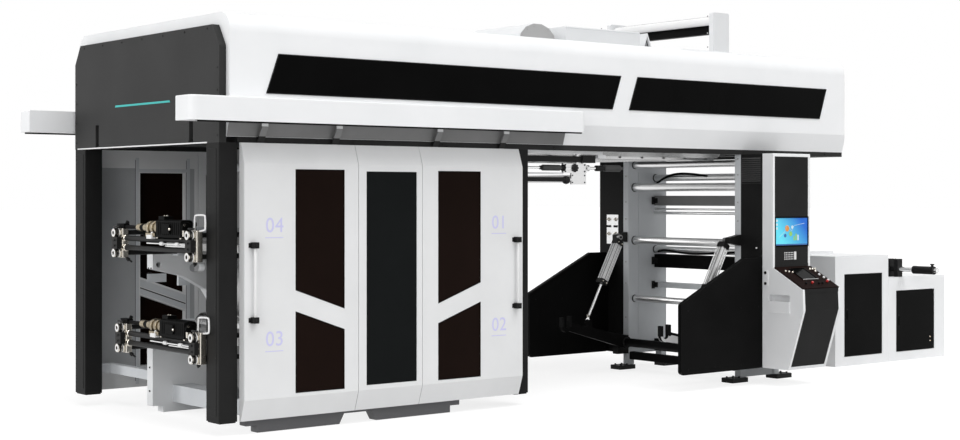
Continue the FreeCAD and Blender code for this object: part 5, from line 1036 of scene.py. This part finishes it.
def winder_details():
    near_x = plates.x0 + 0.098
    far_x = plates.x0 + 0.443
    rollers = ((near_x, 2.38, 0.038), (near_x, 2.12, 0.046), (near_x, 1.5, 0.046),
               (near_x, 0.82, 0.038), (far_x, 2.234, 0.04), (far_x, 1.39, 0.04))
    flanges = Piece("winder_bearing_flanges", DARK_STEEL)
    screws = Piece("winder_plate_screws", TRIM_SILVER)
    black = Piece("winder_beam_covers", BLACK)
    # The brush beam's cover is grey rather than black, as painted light on a beam that stands in shade.
    dark = Piece("winder_brush_beam_cover", SHADE_AND_LIGHT_GREY)
    clips = Piece("winder_beam_brackets", DARK_STEEL)
    strips = Piece("winder_plate_edge_strips", CASTING)
    inner = plates.y0 + 0.087
    x = plates.x0
    for side in WINDER_SIDES:
        put(side, flanges, screws, clips, strips)
        for roller_x, z, r in rollers:
            rim = r + 0.006
            flanges.turned((roller_x, inner, z), "y",
                           ((0, 0.0168), (0, rim), (0.006, rim), (0.006, 0.0168)), 26, loop=True)
        for z in (0.3, 0.6, 1.0, 1.25, 1.75, 1.95, 2.25, 2.42):
            screws.bolt((x, 0.043, z), "-x", 0.009, 0.006)
            screws.bolt((plates.x1, 0.043, z), "x", 0.009, 0.006)
        for z0, z1 in (BRUSH_BEAM, MIDDLE_BEAM, SMALL_BEAM, FOOT_BEAM):
            zm = (z0 + z1) / 2.0
            clips.box(6.815, 6.86, inner, inner + 0.012, zm - 0.045, zm + 0.045)
            clips.box(6.848, 6.86, inner, inner + 0.06, zm - 0.03, zm + 0.03)
            clips.bolt((6.832, inner + 0.012, zm + 0.025), "y", 0.008, 0.006)
            clips.bolt((6.832, inner + 0.012, zm - 0.025), "y", 0.008, 0.006)
        strips.box(x + 0.02, x + 0.06, inner, inner + 0.004, 0.5, 0.72)
        strips.box(x + 0.16, x + 0.19, inner, inner + 0.006, 0.4, 2.3)
    for sheet, (z0, z1) in ((black, MIDDLE_BEAM), (black, FOOT_BEAM), (dark, BRUSH_BEAM)):
        sheet.box(BEAM_X0, BEAM_X1, inner + 0.003, BEAM_END_Y, z0 - 0.003, z1 + 0.003)
    finish(0.0008, flanges, screws, black, dark, clips, strips)


def web_bars_and_cables():
    inner = plates.y0 + 0.087
    bar("winder_upper_cable", ((6.9, 1.738, 2.17), (6.84, 1.6, 2.22), (6.81, 1.35, 2.285),
                               (6.81, 1.0, 2.27), (6.86, 0.85, 2.24)), 0.014, SEAL)
    low_bar = Piece("winder_low_bar", BLACK)
    low_bar.box(6.45, 6.52, inner + 0.001, 1.742, 0.11, 0.2)
    low_bar.done(0.004)
    bars = Piece("winder_web_bars", ROLLER)
    for z, radius in ((1.865, 0.012), (1.82, 0.018)):
        bars.rod((6.875, inner, z), "y", 1.743 - inner, radius, 20)
    bars.done(0)
    bar("winder_lower_cable", ((6.9, 1.735, 1.36), (6.74, 1.5, 1.4), (6.72, 1.1, 1.355),
                               (6.74, 0.6, 1.37), (6.84, 0.1, 1.41)), 0.014, SEAL)


def switch_plate():
    x = boxes.x0
    metal = Piece("switch_plate", ALUMINIUM)
    knobs = Piece("switch_knobs", NICKEL)
    black = Piece("switch_rocker_blocks", SEAL)
    y0 = 1.915
    y1 = 2.11
    metal.box(x - 0.004, x, y0, y1, 1.455, 1.8)
    for z in (1.745, 1.575):
        for y in (y0 + 0.04, y1 - 0.04):
            knobs.turned((x - 0.004, y, z), "-x",
                         ((0, 0.02), (0.006, 0.022), (0.014, 0.016), (0.026, 0.014)), 20)
            black.rod((x - 0.03, y, z), "-x", 0.004, 0.006, 12)
    for y in (y0 + 0.04, y1 - 0.04):
        black.box(x - 0.016, x - 0.004, y - 0.028, y + 0.028, 1.65, 1.675)
    metal.done(0.0015)
    knobs.done(0)
    black.done(0.0015)


def cover_louvre():
    x = boxes.x0
    slats = Piece("cover_louvre_slats", TRIM_DARK)
    surround = Piece("cover_louvre_frame", BEAM_GREY)
    left = -0.293
    inside = -0.285
    for z in spread(2.175, 2.417, 12):
        slats.prism(((x - 0.009, inside, z), (x - 0.0005, inside, z + 0.012),
                     (x - 0.0005, inside, z + 0.016), (x - 0.011, inside, z + 0.003)), (0, 0.265, 0))
    surround.box(x - 0.013, x, left, -0.015, 2.152, 2.163)
    surround.box(x - 0.009, x, left, inside, 2.163, 2.445)
    surround.box(x - 0.009, x, -0.02, -0.012, 2.163, 2.445)
    finish(0, slats, surround)


def cover_panels():
    # A catch, and the seams and locks of the panels in the covers' sides.
    x = boxes.x0
    knob = Piece("cover_catch", RUBBER)
    knob.turned((x, -0.229, 1.461), "-x",
                ((0, 0.006), (0.006, 0.006), (0.008, 0.01), (0.014, 0.008)), 16)
    knob.done(0)
    seams = Piece("cover_panel_seams", SEAL)
    locks = Piece("cover_panel_locks", NICKEL)
    near = x + 0.05
    far = boxes.x1 - 0.05
    for y in (boxes.y1, boxes.y0 - 0.001):
        for z0, z1 in ((0.3, 1.25), (1.3, 2.4)):
            ring(seams, ((near, z0), (near, z1), (far, z1), (far, z0)), y, 0.004, 0.001)
            if y == boxes.y1:
                locks.turned((far - 0.04, y, (z0 + z1) / 2.0), "y", ((0, 0.014), (0.006, 0.013)), 20)
    finish(0, seams, locks)


def foot_details():
    web = Piece("winder_foot_web", CASTING)
    y = 0.012
    web.prism(((plates.x0 + 0.09, y, feet.z1), (plates.x1 - 0.09, y, feet.z1),
               (plates.x1 - 0.05, y, plates.z0), (plates.x0 + 0.05, y, plates.z0)), (0, 0.063, 0))
    web.done(0.002)
    bolts = Piece("foot_pad_bolts", DARK_STEEL)
    rims = Piece("foot_pad_edges", SEAL)
    for side in WINDER_SIDES:
        for x_side in (same, flip_x(plates.xm)):
            put(both(side, x_side), bolts, rims)
            for x in (feet.x0 + 0.04, plates.x0 - 0.03):
                for y in (0.0, 0.087):
                    bolts.bolt((x, y, feet.z1), "z", 0.012, 0.012)
            rims.box(feet.x0 + 0.004, feet.x0 + 0.239, feet.y0 + 0.004, 0.122, 0.0, 0.006)
    finish(0, bolts, rims)


def wing_details():
    lips = Piece("wing_edge_strips", SEAL)
    screws = Piece("wing_screws", BLACK)
    x0 = wings.x0
    end = boxes.x0
    thickness = 0.05
    for y0, y1 in ((wings.y0, wings.y0 + thickness), (wings.y1 - thickness, wings.y1)):
        lips.box(x0 + 0.04, end - 0.03, y0 + 0.006, y1 - 0.006, wings.z0 - 0.005, wings.z0)
        for x in (x0 + 0.1, x0 + 0.5, x0 + 0.9, end - 0.06):
            for z in (wings.z0 + 0.05, 0.84):
                screws.bolt((x, y0, z), "-y", 0.007, 0.004)
                screws.bolt((x, y1, z), "y", 0.007, 0.004)
    lips.done(0.001)
    screws.done(0)


# Reel arms and lift cylinders


PIVOT = (plates.x0 - 0.097, 0.32)
HOOK = (plates.x0 - 1.037, 0.555)
HOOK_OUTER = 0.072
HOOK_INNER = 0.04
ROD_PIN = (plates.x0 - 0.672, 0.593)
LIFT_PIVOT = (plates.x0 - 0.147, 1.54)


def arm_details():
    pads = Piece("arm_hook_pads", SEAL, "reel_arms")
    light = Piece("arm_hook_castings", RUBBER, "reel_arms")
    caps = Piece("arm_pin_caps", DARK_STEEL, "reel_arms")
    near_y0 = plates.y0 + 0.117
    x, z = HOOK
    for side in WINDER_SIDES:
        put(side, pads, caps)
        for x0, x1, z1 in ((x - 0.072, x - 0.04, z + 0.1), (x + 0.04, x + 0.076, z + 0.11)):
            pads.box(x0, x1, near_y0 - 0.006, near_y0 + 0.046, z - 0.01, z1)
        caps.rod((ROD_PIN[0], near_y0 - 0.0525, ROD_PIN[1]), "-y", 0.006, 0.02, 20)
        caps.turned((PIVOT[0], near_y0 + 0.04, PIVOT[1]), "y", ((0, 0.064), (0.008, 0.06)), 28)
        for index in range(6):
            angle = math.pi / 3.0 * index + 0.2
            caps.bolt((PIVOT[0] + 0.055 * math.cos(angle), near_y0 + 0.048, PIVOT[1]
                       + 0.055 * math.sin(angle)), "y", 0.007, 0.005)
    outline = arc(HOOK, HOOK_OUTER, 1.0, 2.0, 12)[:8]
    outline += [(x + 0.42, z - 0.135), (x + 0.42, z - 0.075), (x + 0.1, z - 0.005),
                (x + HOOK_OUTER, z)]
    outline += arc(HOOK, HOOK_INNER, 2.0, 1.0, 12)
    for y in (near_y0 - 0.003, near_y0 + 0.04):
        light.prism([(px, y, pz) for px, pz in outline], (0, 0.003, 0))
    finish(0.001, pads, light, caps)


def cylinder_details():
    # Drawn along the cylinder: x runs from its pivot to the rod's pin, y across the machine.
    base = Vector((LIFT_PIVOT[0], plates.y0 + 0.091, LIFT_PIVOT[1]))
    run = Vector((ROD_PIN[0] - LIFT_PIVOT[0], 0, ROD_PIN[1] - LIFT_PIVOT[1]))
    down = run.normalized()
    across = Vector((down.z, 0, -down.x))

    def along(p):
        return base + down * p.x + across * p.z + Vector((0, p.y, 0))

    ribs = Piece("cylinder_ribs", ALUMINIUM, "lift_cylinders")
    caps = Piece("cylinder_end_caps", DARK_STEEL, "lift_cylinders")
    ports = Piece("cylinder_ports", NICKEL, "lift_cylinders")
    ends = Piece("rod_end_nuts", NICKEL, "piston_rods")
    for side in WINDER_SIDES:
        put(both(along, side), ribs, caps, ports, ends)
        for y, z in arc((0.0, 0.0), 0.0425, 0, 2, 12)[:-1]:
            ribs.rod((0.098, y, z), "x", 0.458, 0.0044, 8)
        for y in (-0.04, 0.04):
            for z in (-0.04, 0.04):
                ribs.rod((0.05, y, z), "x", 0.552, 0.0065, 12)
        for x0, x1, half_y, half_z in ((0.046, 0.099, 0.048, 0.048), (0.555, 0.606, 0.048, 0.048),
                                       (0.03, 0.047, 0.019, 0.03), (0.035, 0.046, 0.04, 0.045)):
            caps.box(x0, x1, -half_y, half_y, -half_z, half_z)
        for x in (0.072, 0.58):
            ports.turned((x, 0, -0.048), (0, 0, -1),
                         ((0, 0.014), (0.01, 0.014), (0.012, 0.009), (0.03, 0.009)), 14)
            ports.bolt((x, 0.048, 0.03), "y", 0.007, 0.005)
            ports.bolt((x, 0.048, -0.03), "y", 0.007, 0.005)
        ends.rod((run.length - 0.068, 0, 0), "x", 0.022, 0.024, 6)
    finish(0, ribs, caps, ports, ends)


# Console


def screen_bezel(face):
    bezel = Piece("screen_bezel", BLACK_GLOSS)
    rim = 0.014
    ring(bezel, ((screen.x0 - rim, screen.z0 - rim), (screen.x0 - rim, screen.z1 + rim),
                 (screen.x1 + rim, screen.z1 + rim), (screen.x1 + rim, screen.z0 - rim)),
         face, 0.016, 0.008)
    bezel.done(0.001)


def screen_picture(y):
    # A generic machine picture: a web line over rollers, a graph and a row of soft keys.
    def at(share_x, share_z):
        return (screen.x0 + share_x * (screen.x1 - screen.x0),
                screen.z0 + share_z * (screen.z1 - screen.z0))

    light = Piece("screen_shapes_light", SCREEN_LIGHT)
    blue = Piece("screen_shapes_deep", SCREEN_DEEP)
    green = Piece("screen_shapes_green", SCREEN_GREEN)
    red = Piece("screen_shapes_red", SCREEN_RED)
    for piece, low_share, high_share in (
            (blue, (0.0, 0.0), (1.0, 0.055)), (light, (0.02, 0.86), (0.07, 0.94)),
            (light, (0.02, 0.72), (0.07, 0.80)), (light, (0.02, 0.58), (0.07, 0.66)),
            (green, (0.56, 0.18), (0.60, 0.34)), (green, (0.62, 0.18), (0.66, 0.42)),
            (light, (0.68, 0.18), (0.72, 0.38))):
        x0, z0 = at(*low_share)
        x1, z1 = at(*high_share)
        piece.box(x0, x1, y - 0.0012, y, z0, z1)
    for share, radius, piece in (((0.36, 0.62), 0.034, red), ((0.47, 0.42), 0.026, green),
                                 ((0.30, 0.36), 0.02, blue), ((0.52, 0.66), 0.018, light)):
        x, z = at(*share)
        piece.rod((x, y, z), "-y", 0.0012, radius, 32)
    line = ((0.12, 0.3), (0.28, 0.5), (0.36, 0.74), (0.5, 0.52), (0.58, 0.72), (0.9, 0.8))
    line_y = y - 0.0016
    half = 0.002
    for start, end in zip(line, line[1:]):
        x0, z0 = at(*start)
        x1, z1 = at(*end)
        light.prism(((x0, line_y, z0 - half), (x1, line_y, z1 - half), (x1, line_y, z1 + half),
                     (x0, line_y, z0 + half)), (0, 0.0012, 0))
    finish(0, light, blue, green, red)


def keypad(panel_face):
    keys = Piece("console_keys", RUBBER)
    side_keys = Piece("console_side_keys", ALUMINIUM)
    keypad_x = console.x0 + 0.19
    for column in range(6):
        for row in range(4):
            x = keypad_x + column * 0.026
            z = 1.337 + row * 0.0225
            piece = keys if column < 5 or row == 2 else side_keys
            piece.box(x, x + 0.012, panel_face - 0.005, panel_face, z, z + 0.012)
    side_keys.box(keypad_x + 0.156, keypad_x + 0.19, panel_face - 0.006, panel_face, 1.335, 1.421)
    finish(0.0008, keys, side_keys)


def console_trim():
    # Strips beside the desk, and the handle, its screws and the tray's lip on the console's side.
    strips = Piece("console_panel_strips", CONSOLE_BLACK)
    x0 = console.x0 + 0.032
    x1 = console.x1 - 0.032
    strips.box(x0, x1, -0.4495, -0.4475, 1.2555, 1.289)
    strips.box(x0, x1, -0.8535, -0.858, 1.0035, 1.043)
    strips.done(0)
    side_x = console.x0
    handle = Piece("console_side_handle", WHITE)
    handle.box(side_x - 0.006, side_x, -0.385, -0.325, 1.06, 1.225)
    handle.done(0.002)
    dark = Piece("console_side_screws", SEAL)
    for z in (1.085, 1.2):
        dark.turned((side_x - 0.006, -0.352, z), "-x", ((0, 0.016), (0.008, 0.016), (0.01, 0.012)), 20)
    dark.done(0)
    tray = Piece("document_tray_lip", WHITE)
    tray.box(side_x - 0.012, side_x, -0.679, -0.396, 0.785, 0.9)
    tray.box(side_x - 0.016, side_x, -0.683, -0.392, 0.776, 0.786)
    tray.done(0.0015)


def desk_details():
    # Drawn on the desk's slope: x and y are shares of its width and depth, z is its height.
    low_end = Vector((0, -0.855, 1.036))
    top = Vector((0, -0.448, 1.256))
    length = (low_end - top).length
    down = (low_end - top).normalized()
    up = Vector((0, down.z, -down.y))
    width = desk.x1 - desk.x0

    def on_desk(p):
        across = Vector((desk.x0 + p.x * width, 0, 0))
        return across + top + down * (p.y * length) + up * (0.012 + p.z)

    black = Piece("desk_pad", BLACK_GLOSS)
    edge = Piece("desk_pad_edge", ALUMINIUM)
    knobs = Piece("desk_knobs", NICKEL)
    pale = Piece("desk_buttons", RUBBER)
    red = Piece("desk_stop_buttons", RED)
    dark = Piece("desk_switches", SEAL)
    put(on_desk, black, edge)
    black.box(0.31, 0.70, 0.15, 0.61, 0, 0.004)
    edge.box(0.295, 0.715, 0.61, 0.625, 0, 0.01)
    for x0, x1, y0, y1 in ((0.295, 0.31, 0.13, 0.61), (0.7, 0.715, 0.13, 0.61),
                           (0.295, 0.715, 0.13, 0.145)):
        black.box(x0, x1, y0, y1, 0, 0.01)
    for piece, radius, height, spots in (
            (knobs, 0.011, 0.022, ((0.12, 0.24), (0.19, 0.27), (0.26, 0.3))),
            (knobs, 0.012, 0.024, ((0.82, 0.2), (0.89, 0.2), (0.96, 0.2), (0.89, 0.3))),
            (pale, 0.014, 0.014, ((0.9, 0.43), (0.92, 0.56), (0.94, 0.68))),
            (red, 0.014, 0.022, ((0.86, 0.74), (0.42, 0.77))),
            (dark, 0.012, 0.02, ((0.24, 0.78), (0.58, 0.8), (0.68, 0.8)))):
        for x, y in spots:
            start = on_desk(Vector((x, y, -0.001)))
            profile = ((0, radius), (height * 0.75, radius), (height, radius * 0.7))
            piece.turned(start, up, profile, 20)
    finish(0.0006, black, edge, knobs, pale, red, dark)


# Cabinets and roll stand


def cabinet_details():
    for name, body_span, door, seam_z in (("tall", tall, tall_door, tall.z1 - 0.034),
                                          ("low", low, low_door, low.z1)):
        body = name + "_cabinet_door"
        trim = Piece(name + "_door_gasket", SEAL, body)
        ring(trim, ((door.x0, door.z0), (door.x0, door.z1), (door.x1, door.z1), (door.x1, door.z0)),
             door.y0 - 0.0008, 0.005, 0.002)
        trim.done(0)
        latch = Piece(name + "_latch_plate", BLACK_GLOSS, body)
        key = Piece(name + "_latch_key", DARK_STEEL, body)
        x = door.x0 + 0.047
        y = door.y0
        latch.box(x - 0.006, x + 0.006, y - 0.001, y + 0.003, door.zm - 0.047, door.zm + 0.047)
        key.turned((x, y, door.zm + 0.074), "-y", ((0, 0.008), (0.003, 0.007)), 20)
        latch.done(0.001)
        key.done(0)
        vents = Piece(name + "_rear_louvres", TRIM_DARK)
        seams = Piece(name + "_top_seam", CASTING)
        x = body_span.xm
        y = body_span.y1
        for z in spread(0.2, 0.47, 10):
            vents.box(x - 0.18, x + 0.18, y, y + 0.0015, z, z + 0.012)
        y = body_span.y0
        seams.box(body_span.x0 + 0.004, body_span.x1 - 0.004, y + 0.03, y + 0.034, seam_z,
                  seam_z + 0.001)
        finish(0, vents, seams)
    lights = Piece("low_door_lights", NICKEL, "low_cabinet_door")
    beads = Piece("low_door_light_beads", AMBER, "low_cabinet_door")
    x = low_door.x1 - 0.078
    y = low_door.y0
    for z in (0.262, 0.212):
        lights.turned((x, y, z), "-y", ((0, 0.01), (0.005, 0.008)), 20)
        beads.turned((x, y - 0.005, z), "-y", ((0, 0.006), (0.003, 0.003)), 16)
    finish(0, lights, beads)


def stand_details():
    x = stand.xm
    near = stand.y0
    far = stand.y1
    shaft_z = low.z1 + 0.095
    radius = 0.0325
    chrome = Piece("stand_shaft_skin", CHROME)
    chrome.turned((x, near - 0.0005, shaft_z), "y", ((0, 0.029), (0.003, radius), (0.039, radius)), 30)
    chrome.rod((x, near + 0.341, shaft_z), "y", 0.198, radius, 30)
    chrome.rod((x, far - 0.12, shaft_z), "y", 0.06, radius, 30)
    chrome.done(0)
    rings = Piece("stand_sleeve_rings", SEAL)
    for y in (near + 0.05, near + 0.3, near + 0.325):
        rings.rod((x, y, shaft_z), "y", 0.008, 0.0495, 30)
    rings.done(0)
    bolts = Piece("stand_clamp_bolts", NICKEL)
    for y in (far - 0.15, far - 0.03):
        for dx in (-0.03, 0.03):
            bolts.bolt((x + dx, y, stand.z1), "z", 0.007, 0.006)
    for z in (low.z1 + 0.03, low.z1 + 0.17):
        bolts.bolt((x, far - 0.18, z), "-y", 0.009, 0.007)
    bolts.done(0)
    knob = Piece("stand_knob_cap", SEAL)
    knob.turned((x, near + 0.072, shaft_z + 0.066), "z", ((0, 0.02), (0.003, 0.026), (0.014, 0.026)), 24)
    knob.done(0)


# On the hood


def fan_details(screws):
    top = hood.z1
    front = fans.y0
    centre = (3.95, top)
    half_width = 0.247
    height = 0.194
    box_x = 4.336
    faces = Piece("fan_scroll_faces", TRIM_SILVER)
    outline = []
    for index in range(8):
        angle = math.pi * index / 7.0
        x = centre[0] + half_width * math.cos(angle)
        outline.append((x, top + height * math.sin(angle)))
    for y in (front - 0.003, fans.y1):
        faces.prism([(x, y, z) for x, z in outline], (0, 0.003, 0))
    for index in range(1, 7):
        angle = math.pi * index / 7.0
        x = centre[0] + 0.22 * math.cos(angle)
        screws.bolt((x, front - 0.003, top + 0.17 * math.sin(angle)), "-y", 0.006, 0.004)
    faces.done(0)
    lid = Piece("fan_box_lid_seam", CASTING)
    lid.box(box_x, fans.x1, front - 0.0015, front, fans.z1 - 0.02, fans.z1 - 0.0165)
    lid.done(0)
    vents = Piece("fan_box_louvres", ROOF_WHITE)
    for z in spread(top + 0.03, top + 0.15, 6):
        vents.box(box_x - 0.003, box_x, front + 0.12, fans.y1 - 0.12, z, z + 0.01)
    vents.done(0)
    for x in spread(box_x + 0.06, box_x + 1.01, 6):
        screws.bolt((x, front, top + 0.02), "-y", 0.006, 0.004)


def roof_details():
    screws = Piece("fan_screws", TRIM_SILVER)
    fan_details(screws)
    top = hood.z1
    black = Piece("gantry_beam_face", BLACK)
    x = gantry.x1 - 0.103
    y0 = gantry.y0 + 0.061
    y1 = gantry.y1 - 0.061
    step_z = gantry.z1 - 0.158
    black.box(x, x + 0.003, y0, y1, step_z, gantry.z1 - 0.022)
    black.box(x, x + 0.083, y0, y1, gantry.z1 - 0.212, step_z)
    strut_x = 5.8
    strut_y = gantry.ym - 0.132
    strut = ((strut_x, top + 0.236), (strut_x + 0.097, top + 0.002), (strut_x + 0.06, top + 0.002),
             (strut_x - 0.008, top + 0.2))
    black.prism([(x, strut_y, z) for x, z in strut], (0, 0.002, 0))
    black.done(0)
    for y, axis in ((gantry.y0, "-y"), (gantry.y1, "y")):
        for z in (top + 0.05, top + 0.2, gantry.z1 - 0.05):
            screws.bolt((gantry.xm, y, z), axis, 0.008, 0.005)
    base = Piece("gantry_foot_plates", WHITE)
    for y0 in (gantry.y0 - 0.02, gantry.y1 - 0.08):
        base.box(gantry.x0 - 0.03, gantry.x1 + 0.03, y0, y0 + 0.1, top, top + 0.01)
    base.done()
    screws.done(0)


# Floor, light and camera


def seen_directly(tree):
    # 1 where the camera, a reflection or glass sees it, and 0 for everything else.
    path = add(tree, "LightPath", {}).outputs
    mirrored = combine(tree, "MAXIMUM", path["Is Camera Ray"], path["Is Glossy Ray"])
    return combine(tree, "MAXIMUM", mirrored, path["Is Transmission Ray"])


def two_ways(tree, kind, unseen, seen):
    # Shows one shader to what is seen directly and the other to the rest.
    inputs = {"Fac": seen_directly(tree), 1: unseen.outputs[0], 2: seen.outputs[0]}
    mix = add(tree, "MixShader", inputs)
    add(tree, "Output" + kind, {"Surface": mix.outputs["Shader"]})


def stage():
    # The floor bounces light as a pale grey and is seen as a white that keeps the shadow.
    bpy.ops.mesh.primitive_plane_add(size=400.0, location=(0, 0, -0.001))
    floor = bpy.context.object
    floor.name = "studio_floor"
    material = bpy.data.materials.new("studio_floor")
    material.use_nodes = True
    tree = material.node_tree
    tree.nodes.clear()
    pale = add(tree, "BsdfDiffuse", {"Color": (0.7, 0.7, 0.7, 1.0)})
    shaded = add(tree, "BsdfDiffuse", {"Color": (0.3, 0.3, 0.3, 1.0)})
    glow = add(tree, "Emission", {"Color": (1.0, 1.0, 1.0, 1.0), "Strength": 0.8})
    white = add(tree, "AddShader", {0: shaded.outputs["BSDF"], 1: glow.outputs["Emission"]})
    two_ways(tree, "Material", pale, white)
    floor.data.materials.append(material)


def studio_world():
    world = bpy.data.worlds.new("studio")
    bpy.context.scene.world = world
    world.use_nodes = True
    tree = world.node_tree
    tree.nodes.clear()
    ambient = add(tree, "Background", {"Color": (1.0, 1.0, 1.0, 1.0), "Strength": 0.2})
    backdrop = add(tree, "Background", {"Color": (1.0, 1.0, 1.0, 1.0), "Strength": 1.0})
    two_ways(tree, "World", ambient, backdrop)


def sun(name, direction, strength, spread):
    data = bpy.data.lights.new(name, "SUN")
    data.energy = strength
    data.angle = math.radians(spread)
    lamp = bpy.data.objects.new(name, data)
    lamp.rotation_euler = Vector(direction).to_track_quat("Z", "Y").to_euler()
    bpy.context.scene.collection.objects.link(lamp)


def camera():
    data = bpy.data.cameras.new("photo_camera")
    data.lens = 60.45
    data.shift_y = -0.025
    data.clip_end = 500.0
    made = bpy.data.objects.new("photo_camera", data)
    made.location = (-11.837, -12.966, 2.02)
    made.rotation_euler = (math.radians(90.0), 0.0, math.radians(-38.87))
    bpy.context.scene.collection.objects.link(made)
    bpy.context.scene.camera = made


end_panel_details()
post_details()
hood_details()
rail_cover_details()
skirt_details()
door_details("front", same)
door_details("rear", REAR)
centre_lining()
deck_details()
side_frame_details()
drum_bolts()
guide_details()
dryer_rails()
winder_details()
web_bars_and_cables()
switch_plate()
cover_louvre()
cover_panels()
foot_details()
wing_details()
arm_details()
cylinder_details()
screen_bezel(screen.y0 - 0.006)
screen_picture(screen.y0)
keypad(screen.y0 - 0.002)
console_trim()
desk_details()
cabinet_details()
stand_details()
roof_details()

stage()
studio_world()
sun("key", (0.05, -0.38, 0.92), 2.25, 50.0)
sun("front_fill", (0.1, -0.9, 0.42), 0.48, 40.0)
sun("back_left", (-0.80, 0.45, 0.35), 1.2, 30.0)
sun("left", (-0.85, -0.45, 0.28), 0.85, 30.0)
camera()
bpy.context.scene.view_settings.view_transform = "Standard"
